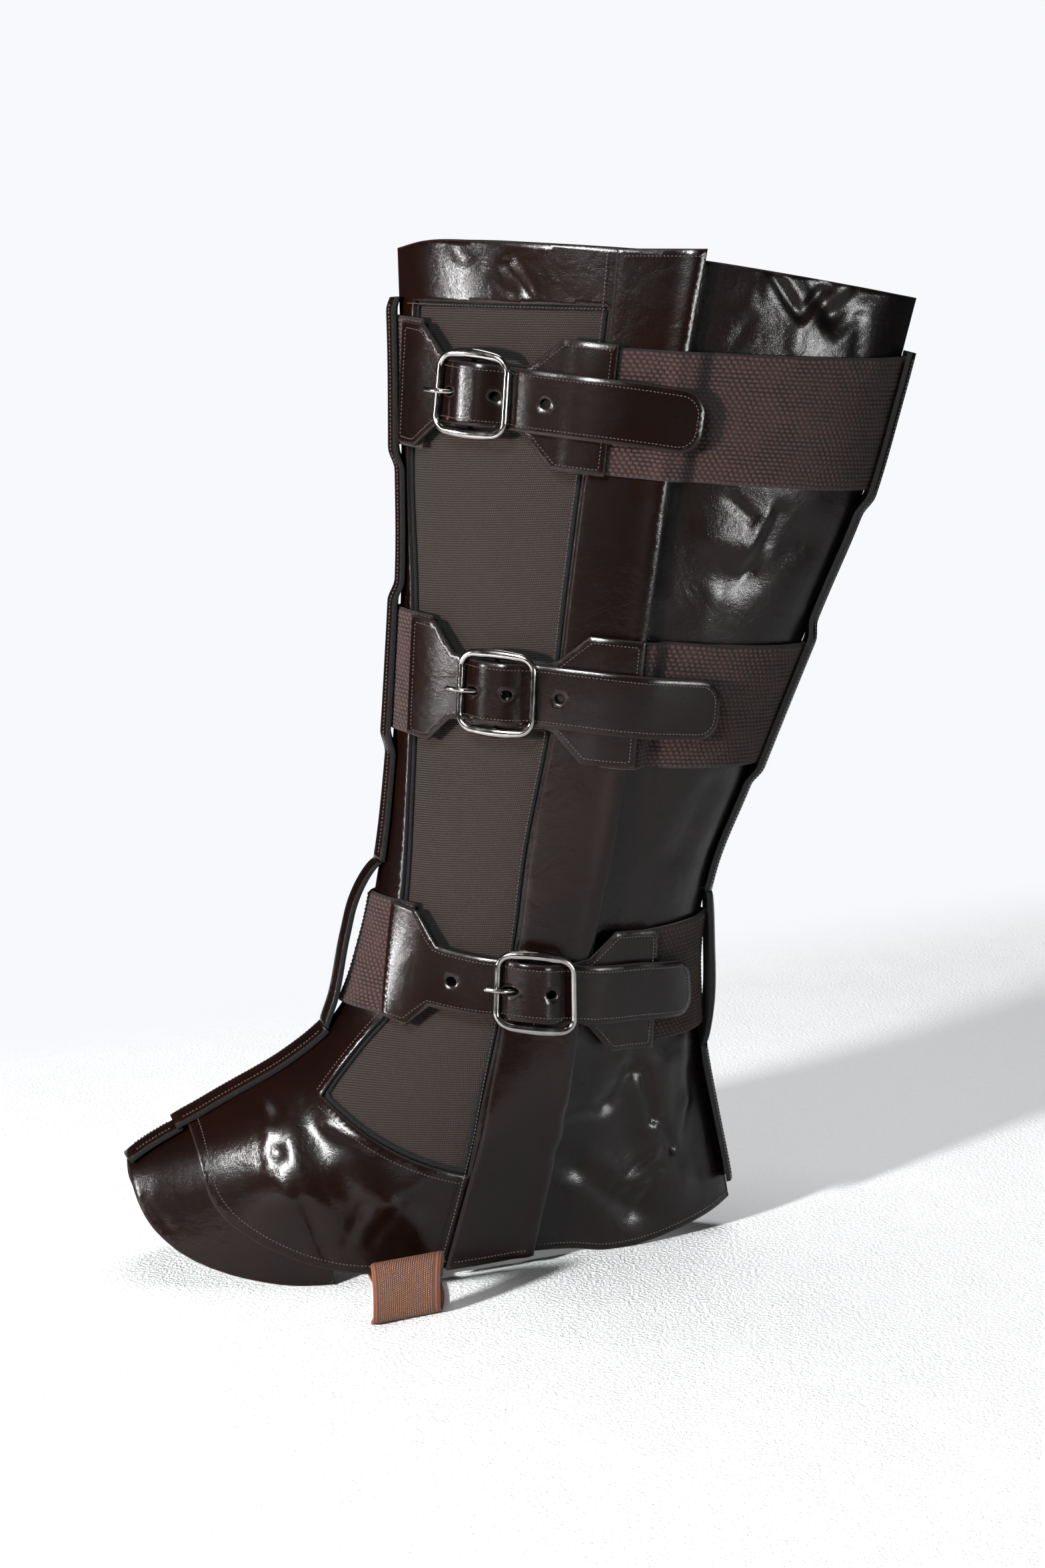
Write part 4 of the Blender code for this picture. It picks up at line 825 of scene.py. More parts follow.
PLACKET = table(
    PlacketRow,
    (412.0, 36.5, 70.5), (378.0, 33.5, 64.5), (325.0, 25.0, 56.5), (281.0, 19.5, 51.0),
    (224.0, 11.5, 41.5), (175.0, 0.2, 32.0), (135.0, -7.3, 22.0), (102.0, -16.0, 14.5),
    (54.0, -29.0, 6.0), (4.6, -42.5, -4.5),
)
WINDOW_TOP, BORDER, CANVAS_LAP, LAP = 390.0, 1.5, 6.0, 5.0
TOE_TIP_V, VAMP_END_V, TOE_TOP_V, HEEL_END_V = 0.940, 0.893, 0.862, 0.981
FINE = 2.0                               # spacing of the points along an outline


def drawn(points, step=FINE):
    """Smooth side-view line through the points, as (u, v) rows."""
    points = np.array(points, float)
    along = distances(points)
    at = np.linspace(0, along[-1], max(2, ceil(along[-1] / step) + 1))
    line = smooth_curve(at, along, points)
    return np.stack(find_uv(line[:, 0], line[:, 1]), -1)


def along_seam(seam, v0, v1):
    count = max(2, ceil(abs(v1 - v0) * V_MM / FINE) + 1)
    return np.stack([np.full(count, float(seam)), np.linspace(v0, v1, count)], -1)


def outline(*runs):
    """Closed flat outline from runs of (u, v) that follow each other."""
    flat = to_flat(np.concatenate(runs))
    return flat[np.hypot(*(flat - np.roll(flat, 1, axis=0)).T) > 0.8]


def placket_line(offset, column, z0=4.6, z1=412.0):
    rows = [r for r in PLACKET if z0 - 0.1 <= r.z <= z1 + 0.1]
    return [(r.left + (r.right - r.left) * column + offset, r.z) for r in rows]


def front_panel_loop():
    back = placket_line(LAP, 0.5)
    back[0] = (back[0][0], RIM_FRONT[-1][1])
    rim = (*RIM_FRONT[:-1], back[0])
    hem = (*VAMP_FRONT_EDGE[:-1], back[-1])
    return outline(along_seam(0, 0.0, VAMP_END_V), drawn(hem), drawn(back[::-1]), drawn(rim[::-1]))


def back_panel_loop():
    front = placket_line(-LAP, 0.5)
    front[0] = (front[0][0], RIM_BACK[0][1])
    front[-1] = (front[-1][0], HEEL_HEM[-1][1])
    return outline(along_seam(1, 0.0, HEEL_END_V), drawn((*HEEL_HEM[:-1], front[-1])),
                   drawn(front[::-1]), drawn((front[0], *RIM_BACK[1:])))


def toe_loop():
    return outline(along_seam(0, TOE_TOP_V, TOE_TIP_V), drawn(TOE_EDGE), drawn(TOE_BACK_EDGE))


window_back = placket_line(-BORDER, 0.0, z0=50, z1=380)
window_back = [(window_back[0][0] + 1.5, WINDOW_TOP), *window_back, WINDOW_BOTTOM[-1]]
window_loop = outline(drawn(WINDOW_FRONT), drawn(WINDOW_INSTEP), drawn(WINDOW_BOTTOM),
                      drawn(window_back[::-1]), drawn([window_back[0], WINDOW_FRONT[0]]))
placket_left, placket_right = placket_line(0, 0.0), placket_line(0, 1.0)
placket_loop = outline(drawn(placket_left), drawn([placket_left[-1], placket_right[-1]]),
                       drawn(placket_right[::-1]), drawn([placket_right[0], placket_left[0]]))
print("front panel", round(abs(signed_area(front_panel_loop())) / 100), "cm2, back panel",
      round(abs(signed_area(back_panel_loop())) / 100), "cm2, placket",
      round(abs(signed_area(placket_loop)) / 100), "cm2")

# %% [markdown]
# ## The leather panels
# The toe piece and the back panel are the lower layer. The front panel lies over both, and the
# placket lies over the overlap. Keeping the real order of the layers gives every edge its true
# step and shadow. One panel with painted seams would be quicker, but its edges would look printed.

# %% Leather panels
PANEL_T, UNDER, OVER, PLACKET_LIFT = 2.0, -2.8, 0.0, 2.5


def on_surface(side, lift):
    """Way to lay a flat pattern on one side of the cover, at a lift above the bare surface."""
    return lambda flat, height: skin(*from_flat(flat), side, lift + height)


RIDGE += [Fold(OUTER, a.right - 3.5, a.z, b.right - 3.5, b.z, 1.1, 3.2)
          for a, b in zip(PLACKET, PLACKET[1:])]
panels = {}
for side, suffix, grid in ((OUTER, "lateral", 1.8), (INNER, "medial", 3.6)):
    vamp_holes = [window_loop] if side == OUTER else []
    cuts = (("toe_", [toe_loop()], UNDER, leather),
            ("quarter_", [back_panel_loop()], UNDER, leather_soft),
            ("vamp_", [front_panel_loop(), *vamp_holes], OVER, leather))
    for part, loops, lift, face in cuts:
        panels[part + suffix] = cut_piece(
            part + suffix + "_leather", loops, on_surface(side, lift), PANEL_T,
            [face, suede, raw_edge], grid, [part + suffix])
panels["placket"] = cut_piece("placket_leather", [placket_loop], on_surface(OUTER, PLACKET_LIFT),
                              PANEL_T, [leather, suede, raw_edge], 2.0, ["placket"])
print("cut", len(panels), "leather panels")

# %% [markdown]
# ## The canvas window
# A sheet of ribbed canvas closes the opening in the outer front panel. It is cut larger than the
# opening and sewn behind it. Its ribs run level at the shin and sag a little lower down, so the
# weave coordinates follow the side view instead of the pattern. A narrow black lip stands round the
# opening: it is partly the raw cut edge of the leather and partly painted shade, where that edge
# shades the canvas.

# %% Canvas and its lip
CANVAS_T, CANVAS_LIFT = 1.3, -2.1
LIP_T, LIP_LIFT, LIP_FROM, LIP_TO = 1.3, -0.6, 0.35, 1.9     # from and to: inside the opening


def canvas_weave(flat):
    u, v = from_flat(flat)
    x, z, _ = side_view(u, v)
    sag = 0.075 * (x + 10) * smooth_step((v - 0.05) / 0.3)
    sag = sag * (1 - 1.6 * smooth_step((v - 0.55) / 0.3))
    return np.column_stack([flat[:, 0], z - sag, np.ones(len(flat))])


canvas_piece = cut_piece("canvas_window_cloth", [grown(window_loop, CANVAS_LAP)],
                         on_surface(OUTER, CANVAS_LIFT), CANVAS_T, [canvas, canvas, canvas], 3.0,
                         ["canvas_window"], canvas_weave)
# The black lip is partly the raw cut edge and partly painted shade where the edge shades the
# canvas.
lip_loops = [cleaned_inset(window_loop, distance) for distance in (LIP_FROM, LIP_TO)]
window_lip = cut_piece("window_lip", lip_loops, on_surface(OUTER, LIP_LIFT), LIP_T,
                       [raw_edge, raw_edge, raw_edge], 1.2)
print("canvas of", round(abs(signed_area(grown(window_loop, CANVAS_LAP))) / 100), "cm2")

# %% [markdown]
# ## Strips over the seams
# The raw seams down the shin and the calf are hidden under narrow strips, which climb over the
# webbing. At the ankle they become loops that stand off, so that the lower strap can slide through
# them. A strip is a simple ribbon, so it is swept along the seam row by row.

# %% Strips and loops
STRIP_SAG = 0.045
ON_UNDER, ON_OVER, WEBBING_T, WEB_GAP = 0.1, 2.6, 2.0, 0.3
Web = namedtuple("Web", "top_front bottom_front top_back bottom_back top_end bottom_end "
                        "front_end back_end")
WEBS = dict(zip(("upper", "middle", "lower"), table(
    Web,
    (0.064, 0.189, 0.055, 0.187, 0.071, 0.191, 0.105, 0.425),
    (0.349, 0.468, 0.343, 0.472, 0.345, 0.472, 0.150, 0.530),
    (0.632, 0.745, 0.643, 0.780, 0.650, 0.782, 0.175, 0.695),
)))
Strip = namedtuple("Strip", "name seam v0 v1 half_width lift webbing")
STRIPS = table(
    Strip,
    ("shin_strip", 0, 0.047, 0.600, 7.5, ON_OVER, ("upper", "middle")),
    ("instep_strip", 0, 0.7755, 0.9035, 7.5, ON_OVER, ()),
    ("toe_strip", 0, 0.9005, 0.938, 6.5, ON_UNDER, ()),
    ("back_strip", 1, 0.050, 0.621, 7.5, ON_UNDER, ("upper", "middle")),
    ("heel_strip", 1, 0.806, 0.958, 7.5, ON_UNDER, ()),
)
BULGE_RAMP, WEB_RAMP, SEAM_ROUNDING = 0.022, 0.032, 6.0
Loop = namedtuple("Loop", "name seam v0 v1 half_width lift stand_off peak")
LOOPS = table(
    Loop,
    ("ankle_loop_front", 0, 0.6015, 0.7745, 6.5, ON_OVER, 8.0, 0.34),
    ("ankle_loop_back", 1, 0.6225, 0.8045, 6.5, ON_UNDER, 6.0, 0.50),
)


def flat_over_seam(t, v, seam, lift):
    """Point of a strip that lies flat across a seam, t millimetres past it."""
    t, v = np.broadcast_arrays(np.asarray(t, float), np.asarray(v, float))
    a = np.radians(section_at(v).turn)
    across = np.stack([-np.sin(a), np.cos(a), np.zeros(a.shape)], -1)
    height = np.asarray(lift, float) - STRIP_SAG * t**2
    middle = bare(np.full(v.shape, float(seam)), v, OUTER)
    return middle + across * t[..., None] + seam_normal(v, seam) * height[..., None]


def strip_lift(strip, v):
    lift = np.full(np.shape(v), strip.lift)
    for name in strip.webbing:
        web = WEBS[name]
        top, bottom = (web.top_back, web.bottom_back) if strip.seam else (web.top_front,
                                                                          web.bottom_front)
        up = smooth_step((v - top + BULGE_RAMP + 0.004) / BULGE_RAMP)
        down = smooth_step((bottom + BULGE_RAMP + 0.004 - v) / BULGE_RAMP)
        lift = lift + up * down * (WEBBING_T + WEB_GAP + SEAM_GAP)
    return lift


def ribbon(name, vs, half_width, lay, stands_for):
    """Closed leather strip with rounded edges; lay(t, v, height) gives its points."""
    r, thickness = EDGE_ROUND, PANEL_T
    ts = np.linspace(-half_width + r, half_width - r, 7)
    profile = [(t, thickness) for t in ts] + [(half_width, thickness - r), (half_width, r)]
    profile += [(t, 0.0) for t in ts[::-1]] + [(-half_width, r), (-half_width, thickness - r)]
    profile = np.array(profile)
    count, n = len(profile), len(vs)
    t = np.broadcast_to(profile[:, 0], (n, count))
    h = np.broadcast_to(profile[:, 1], (n, count))
    v = np.broadcast_to(np.asarray(vs)[:, None], (n, count))
    points = lay(t, v, h).reshape(-1, 3)
    faces = tube_faces(n, count)
    which = ([0] * 6 + [2] * 3 + [1] * 6 + [2] * 3) * (n - 1) + [2, 2]
    edge = half_width - np.abs(t)
    notes = {"cut": np.stack([t, v * V_MM, np.minimum(edge, 5)], -1).reshape(-1, 3)}
    return add_piece(name, points, facing_out(points, faces), [leather, raw_edge, raw_edge],
                     which, notes, [stands_for])


for strip in STRIPS:
    vs = np.linspace(strip.v0, strip.v1, max(8, ceil((strip.v1 - strip.v0) * V_MM / 2)))

    def lay_strip(t, v, h, strip=strip):
        return flat_over_seam(t, v, strip.seam, strip_lift(strip, v) + h)

    ribbon(strip.name + "_leather", vs, strip.half_width, lay_strip,
                                strip.name)
for loop in LOOPS:
    vs = loop.v0 + (1 - np.cos(pi * np.linspace(0, 1, 48))) / 2 * (loop.v1 - loop.v0)

    def lay_loop(t, v, h, loop=loop):
        share = np.clip((v - loop.v0) / (loop.v1 - loop.v0), 0, 1)
        bend = np.where(share < loop.peak, share / loop.peak / 2,
                        0.5 + (share - loop.peak) / (1 - loop.peak) / 2)
        off = loop.stand_off * np.maximum(np.sin(pi * bend), 0)**0.7
        return flat_over_seam(t, v, loop.seam, loop.lift + off + h)

    ribbon(loop.name + "_leather", vs, loop.half_width, lay_loop, loop.name)

# %% [markdown]
# ## Webbing
# Each strap is a band of thick cotton webbing, about 50 mm wide, that runs from the front tab round
# the inner side to the back tab. Its yarns are so thick that they show in the outline, so the weave
# is modelled: the band is a fine grid whose points rise and fall in a chequered pattern. A bump
# alone would lose the crooked edges and the small shadows between the yarns.

# %% Webbing
ON_PLACKET, ON_WEBBING = 5.1, 5.7
YARN_ALONG, YARN_ACROSS, YARN_RISE = 2.35, 1.72, 0.62
STEP_ALONG, STEP_ACROSS = 0.6, 0.55      # between the points of the band's face
ROUGH_STEP, ROUGH_COLUMNS = 1.8, 9       # between the points that are laid on the leg
BACK_COLUMNS = 9                         # the band's back is smooth, so it needs few points


def seam_speed(v, seam):
    """Millimetres of surface per unit of u beside a seam."""
    step = 1e-3
    near = np.full(np.shape(v), 1 - step if seam else step)
    end = np.full(np.shape(v), float(seam))
    return np.linalg.norm(bare(near, v, OUTER) - bare(end, v, OUTER), axis=-1) / step


def over_seam(t, v, seam, lift):
    """Point t millimetres past a seam (outer side negative), bending smoothly round it."""
    u = np.abs(t) / seam_speed(v, seam)
    u = 1 - u if seam else u
    outer = t < 0
    p = np.where(outer[..., None], bare(u, v, OUTER), bare(u, v, INNER))
    n = np.where(outer[..., None], normal_at(u, v, OUTER), normal_at(u, v, INNER))
    w = (1 - smooth_step(np.abs(t) / SEAM_ROUNDING))[..., None]
    n = unit(n * (1 - w) + seam_normal(v, seam) * w)
    fold = np.where(outer, relief(u, v, OUTER), relief(u, v, INNER)) * (1 - w[..., 0])
    return p + n * (np.asarray(lift, float) + fold)[..., None]


def u_at_edge(v, column, offset):
    """u at which the side view crosses a line along the placket."""
    rows = np.array(PLACKET[::-1], float)
    low, high = np.full(np.shape(v), 0.2), np.full(np.shape(v), 0.95)
    for _ in range(24):
        u = (low + high) / 2
        x, z, _ = side_view(u, v)
        line = np.interp(z, rows[:, 0], rows[:, 1] + (rows[:, 2] - rows[:, 1]) * column)
        beyond = x > line + offset
        high, low = np.where(beyond, u, high), np.where(beyond, low, u)
    return u


def band_point(web, g, share, height):
    """Point of a band. g runs round the leg: below 0 on the outer side before the front seam,
    0 to 1 on the inner side, above 1 on the outer side behind the back seam."""
    at_front = web.top_front + (web.bottom_front - web.top_front) * share
    at_back = web.top_back + (web.bottom_back - web.top_back) * share
    at_end = web.top_end + (web.bottom_end - web.top_end) * share
    inner_edge = u_at_edge((at_front + at_back) / 2, 0.5, LAP + 2.5)
    outer_edge = u_at_edge(at_back, 1.0, 2.5)
    u = np.where(g < 0, -g, np.where(g <= 1, g, 2 - g))
    fall = (at_end - at_back) / (1 - web.back_end)
    v = np.where(g < 0, at_front, np.where(g <= 1, at_front + (at_back - at_front) * u,
                                           at_back + (1 - u) * fall))
    low, on_over = ON_UNDER + WEB_GAP, ON_OVER + WEB_GAP
    inner_lift = on_over + (low - on_over) * smooth_step((u - inner_edge) / WEB_RAMP)
    outer_lift = ON_PLACKET + (low - ON_PLACKET) * smooth_step((u - outer_edge) / WEB_RAMP)
    lift = np.where(g < 0, on_over, np.where(g <= 1, inner_lift, outer_lift)) + height
    side = np.where((g >= 0) & (g <= 1), INNER, OUTER)
    p = np.where((side == OUTER)[..., None], skin(u, v, OUTER, lift), skin(u, v, INNER, lift))
    for seam in (0, 1):
        t = side * np.abs(u - seam) * seam_speed(v, seam)
        close = (np.abs(t) < SEAM_ROUNDING)[..., None]
        p = np.where(close, over_seam(t, v, seam, lift), p)
    return p


def yarn_height(along, across):
    """Oval bumps of a plain weave of thick yarns, from 0 to 1. Every other row is shifted."""
    row = np.round(across / YARN_ACROSS)
    bump = 0.5 + 0.5 * np.cos(2 * pi * (along / YARN_ALONG + 0.5 * (row % 2)))
    lane = 0.5 + 0.5 * np.cos(2 * pi * across / YARN_ACROSS)
    return lane**0.35 * (0.1 + 0.9 * bump**0.4)


def finer(values, rows, columns):
    """Smooth table of values at fractional rows and columns of a coarse one."""
    for at in (rows, columns):
        table = smooth_curve(at, np.arange(len(values)), values.reshape(len(values), -1))
        values = np.swapaxes(table.reshape(len(at), *values.shape[1:]), 0, 1)
    return values


def weave_band(name, web):
    g = np.linspace(-web.front_end, 2 - web.back_end, 400)
    middle = band_point(web, g, np.full(g.shape, 0.5), np.zeros(g.shape))
    far = distances(middle)
    edges = band_point(web, np.full(2, 0.5), np.array([0.0, 1.0]), np.zeros(2))
    width = np.linalg.norm(edges[1] - edges[0])
    stations, columns = int(far[-1] / STEP_ALONG), int(width / STEP_ACROSS)
    rough_rows = int(far[-1] / ROUGH_STEP)
    rough = np.meshgrid(np.interp(np.linspace(0, far[-1], rough_rows), far, g),
                        np.linspace(0, 1, ROUGH_COLUMNS), indexing="ij")
    base = band_point(web, *rough, np.zeros(rough[0].shape))
    outward = band_point(web, *rough, np.ones(rough[0].shape)) - base
    grid = np.linspace(0, rough_rows - 1, stations), np.linspace(0, ROUGH_COLUMNS - 1, columns)
    base, outward = finer(base, *grid), finer(outward, *grid)
    along = np.linspace(0, far[-1], stations)
    aa, ww = np.meshgrid(along, np.linspace(0, width, columns), indexing="ij")
    wander = 0.25 * np.sin(aa / 7.3 + ww / 5.1) + 0.18 * np.sin(aa / 2.9 - ww / 3.7)
    bumps = yarn_height(aa + wander, ww + 0.5 * wander)
    rim = smooth_step(np.minimum(ww, width - ww) / 1.2)
    height = WEBBING_T - 0.45 + YARN_RISE * (bumps - 0.35) * rim - 0.7 * (1 - rim)
    top = base + outward * height[..., None]
    coarse = np.linspace(0, columns - 1, BACK_COLUMNS).astype(int)
    low = (base + outward * 0.05)[:, coarse]
    points = point_rows(top, low)
    first = stations * columns
    faces = grid_faces(stations, columns)
    faces += [(a, d, c, b) for a, b, c, d in grid_faces(stations, BACK_COLUMNS, first)]
    for i in range(stations - 1):
        a, b = i * columns, first + i * BACK_COLUMNS
        faces.append((a, a + columns, b + BACK_COLUMNS, b))
        a, b = a + columns - 1, b + BACK_COLUMNS - 1
        faces.append((a + columns, a, b, b + BACK_COLUMNS))
    for i in (0, stations - 1):
        ring = [i * columns + j for j in range(columns)]
        ring += [first + i * BACK_COLUMNS + j for j in reversed(range(BACK_COLUMNS))]
        faces.append(ring if i else ring[::-1])
    # The third weave value is the yarn height, lower near the band's edges; the webbing finish
    # paints shade from it.
    face_notes = np.stack([aa + wander, ww + 0.5 * wander, bumps * (0.35 + 0.65 * rim)], -1)
    back_notes = np.stack([aa, ww, np.full(aa.shape, 0.5)], -1)[:, coarse]
    piece = add_piece("webbing_" + name + "_cloth", points, facing_out(points, faces), [webbing],
                      None, {"weave": point_rows(face_notes, back_notes)}, ["webbing_" + name])
    print(piece.name, round(far[-1]), "mm long,", len(piece.data.polygons), "faces")
    return piece, far[-1], width


bands = {name: weave_band(name, web) for name, web in WEBS.items()}

# %% [markdown]
# ## Tongues and back tabs
# The front tab narrows into a tongue with punched holes. The tongue goes through the buckle and
# ends in a rounded tip. The back tab folds round the buckle's middle bar. Both are drawn flat,
# along and across the strap, and `lay` puts them on the leg with a table of heights, because the
# tongue climbs over the bar and lies down again behind it.

# %% Shapes of the straps
LinePoint = namedtuple("LinePoint", "x z lean")
CENTRE_LINES = {
    "upper": table(LinePoint, (-46, 360.6, 0.03), (-30, 357.6, 0.09), (-15.4, 356.3, 0.05),
                   (8, 353.3, 0.08), (35, 350.4, 0.11), (76, 344.2, 0.14)),
    "middle": table(LinePoint, (-47, 244.4, 0.05), (-23, 240.4, 0.08), (-8.1, 239.5, 0.05),
                    (13, 238.4, 0.10), (42, 236.0, 0.12), (80, 231.6, 0.10)),
    "lower": table(LinePoint, (-61, 129.4, 0.17), (-35.3, 122.0, 0.19), (-2.8, 119.0, 0.09),
                   (14.5, 117.3, 0.08), (47, 114.5, 0.06), (67, 111.6, -0.08)),
}
BAR_X = {"upper": -15.4, "middle": -8.1, "lower": -2.8}
TAB_EDGE = {"upper": -36.5, "middle": -39.5, "lower": -59.0}
TIP = {"upper": 87.0, "middle": 85.5, "lower": 72.0}
FRONT_NECK = {"upper": 14.8, "middle": 13.3, "lower": 12.6}
FREE_HOLES = {"upper": (9.0, 28.5), "middle": (4.5, 23.5), "lower": (-31.0, 5.5)}
TAB_T = 1.8
STRAP_HALF, FRONT_TAB_HALF, BACK_TAB_HALF, BACK_NECK_HALF = 12.2, 24.0, 25.4, 14.2
TAB_STRAIGHT, TAB_SLOPE, NECK_NARROW = 11.0, 9.5, -12.0
BACK_TAB_EDGE, BACK_TAB_STRAIGHT, BACK_TAB_SLOPE = 53.0, 20.5, 11.0
HOLE_R, PRONG_HOLE_X, PRONG_HOLE_LONG, PRONG_HOLE_WIDE, TIP_R = 2.0, -9.0, 3.0, 1.8, 9.0
FRAME_HALF_X, FRAME_HALF_Y, FRAME_CORNER, FRAME_BOW = 13.7, 14.6, 5.0, 0.9
SIDE_BAR_R, END_BAR_R, END_BAR_DEPTH = 1.25, 2.15, 1.75
FRAME_H, BAR_H, BAR_R = 10.2, 7.8, 1.0
WIRE_R, RING_WIRE_R, RING_R = 1.0, 0.75, 2.1
WRAP_R, WRAP_T, WRAP_SWEEP, SLOT_HALF = 2.1, 1.4, radians(250), 1.6
BUCKLE_RISE = {"upper": 0.0, "middle": 0.0, "lower": 2.6}
Row = namedtuple("Row", "along lift")
TONGUE_OVER_BAR = table(
    Row,
    (-18.5, 5.8), (-15.5, 6.0), (-13.5, 6.1), (-11.8, 6.6), (-9.5, 8.2), (-7.0, 9.8),
    (-4.0, 10.9), (0.0, 11.1), (4.0, 10.8), (7.0, 9.0), (9.5, 7.2), (11.8, 6.0), (13.5, 5.7),
    (15.5, 5.9),
)
TONGUE_PAST_BUCKLE = {
    "upper": table(Row, (22, 7.0), (34, 8.2), (42, 9.9), (56, 9.9), (68, 8.4), (87, 7.6)),
    "middle": table(Row, (22, 7.2), (32, 8.6), (40, 9.9), (56, 9.9), (68, 7.4), (86, 4.8)),
    "lower": table(Row, (22, 8.8), (32, 7.2), (42, 5.4), (56, 5.2), (72, 3.8)),
}
BACK_TAB_LIFT = {
    "upper": table(Row, (10, 3.9), (15.5, 3.4), (22, 5.2), (34, 6.1), (40, 7.6), (55, 7.6)),
    "middle": table(Row, (10, 3.9), (15.5, 3.6), (21.5, 5.3), (32, 6.6), (38, 7.6), (55, 7.6)),
    "lower": table(Row, (10, 6.4), (15.5, 5.6), (23, 5.3), (32, 4.4), (42, 2.8), (55, 2.8)),
}


class StrapMap:
    """Lays flat points (along, across) on the outer side, along a strap's centre line."""

    def __init__(self, name):
        points = np.array(CENTRE_LINES[name], float)
        xs = np.linspace(points[0, 0], points[-1, 0], 240)
        zs, leans = smooth_curve(xs, points[:, 0], points[:, 1:]).T
        path = bare(*find_uv(xs, zs), OUTER)
        along = distances(path)
        self.along = along - np.interp(BAR_X[name], xs, along)
        self.x, self.z, self.lean = xs, zs, leans
        above = bare(*find_uv(xs + leans, zs + 1), OUTER)
        below = bare(*find_uv(xs - leans, zs - 1), OUTER)
        self.rate = 2 / np.linalg.norm(above - below, axis=1)

    def __call__(self, along, across, height):
        rise = across * np.interp(along, self.along, self.rate)
        x = np.interp(along, self.along, self.x) + rise * np.interp(along, self.along, self.lean)
        u, v = find_uv(x, np.interp(along, self.along, self.z) + rise)
        return bare(u, v, OUTER) + normal_at(u, v, OUTER) * np.asarray(height, float)[..., None]


def arc(cx, cy, rx, ry, start, end, count):
    turns = np.radians(np.linspace(start, end, count))
    return [(cx + rx * cos(t), cy + ry * sin(t)) for t in turns]


def resampled(points, step, closed=True):
    out = []
    for i, p in enumerate(points if closed else points[:-1]):
        q = points[(i + 1) % len(points)]
        count = max(1, round(hypot(q[0] - p[0], q[1] - p[1]) / step))
        out += [(p[0] + (q[0] - p[0]) * k / count, p[1] + (q[1] - p[1]) * k / count)
                for k in range(count)]
    return np.array(out)


def lift_along(rows, along):
    table = np.array(rows, float)
    return smooth_curve(along, table[:, 0], table[:, 1:])[..., 0]


def tongue_loop(name):
    edge, tip = TAB_EDGE[name], TIP[name]
    half = [(edge, FRONT_TAB_HALF), (edge + TAB_STRAIGHT, FRONT_TAB_HALF),
            (edge + TAB_STRAIGHT + TAB_SLOPE, FRONT_NECK[name]), (NECK_NARROW, STRAP_HALF),
            (tip - TIP_R, STRAP_HALF)]
    upper = half + arc(tip - TIP_R, STRAP_HALF - TIP_R, TIP_R, TIP_R, 80, 0, 8)
    return resampled(upper + [(x, -y) for x, y in reversed(upper)], 1.6)


def tongue_height(name, along):
    rise = BUCKLE_RISE[name]
    rows = [Row(TAB_EDGE[name], ON_WEBBING), Row(-27.0 - 2 * rise, ON_WEBBING + rise * 0.2)]
    rows += [Row(r.along, r.lift + rise) for r in TONGUE_OVER_BAR] + list(TONGUE_PAST_BUCKLE[name])
    return lift_along(rows, along)


def lay_tongue(name, strap):
    return lambda flat, height: strap(flat[:, 0], flat[:, 1],
                                      tongue_height(name, flat[:, 0]) + height)


def back_tab_loop(step=1.6):
    edge, narrow = BACK_TAB_EDGE, STRAP_HALF - 0.7
    shoulder = edge - BACK_TAB_STRAIGHT
    fold = -WRAP_R * WRAP_SWEEP
    half = [(edge, BACK_TAB_HALF), (shoulder, BACK_TAB_HALF),
            (shoulder - BACK_TAB_SLOPE, BACK_NECK_HALF), (13.0, narrow), (fold, narrow),
            (fold, SLOT_HALF), (4.0, SLOT_HALF)]
    return resampled(half + [(x, -y) for x, y in reversed(half)], step)


def lay_back_tab(name, strap):
    rise = BUCKLE_RISE[name]
    low_at_bar = BAR_H - WRAP_R - WRAP_T / 2 + rise
    rows = [Row(0, low_at_bar), Row(3, low_at_bar), *BACK_TAB_LIFT[name]]

    def lay(flat, height):
        along, across = flat.T
        radius = WRAP_R + WRAP_T / 2 - height
        turn = np.where(along < 0, -along / WRAP_R, 0)
        x = np.where(along < 0, -radius * np.sin(turn), along)
        bent = BAR_H + rise - radius * np.cos(turn)
        h = np.where(along < 0, bent, lift_along(rows, np.maximum(along, 0)) + height)
        return strap(x, across, h)

    return lay


maps = {name: StrapMap(name) for name in WEBS}
tabs = {}
for name, strap in maps.items():
    holes = [np.array(arc(x, 0, HOLE_R, HOLE_R, 0, 337.5, 16)) for x in FREE_HOLES[name]]
    holes.append(np.array(arc(PRONG_HOLE_X, 0, PRONG_HOLE_LONG, PRONG_HOLE_WIDE, 0, 337.5, 16)))
    tabs["tongue_" + name] = cut_piece(
        "tongue_" + name + "_leather", [tongue_loop(name), *holes], lay_tongue(name, strap),
        TAB_T, [leather_flat, suede, raw_edge], 1.8, ["tongue_" + name])
    tabs["back_tab_" + name] = cut_piece(
        "back_tab_" + name + "_leather", [back_tab_loop(1.0)], lay_back_tab(name, strap),
        WRAP_T, [leather_flat, suede, raw_edge], 1.8, ["back_tab_" + name])
print("laid", len(maps), "tongues and back tabs")

# %% [markdown]
# ## Buckles
# A buckle frame is a closed loop of wire with rounded corners, thicker and bowed at its two ends.
# The middle bar and the prong are wire too. A tube swept along a path gives all of them, with
# enough sides that the polished metal shows smooth streaks of light.

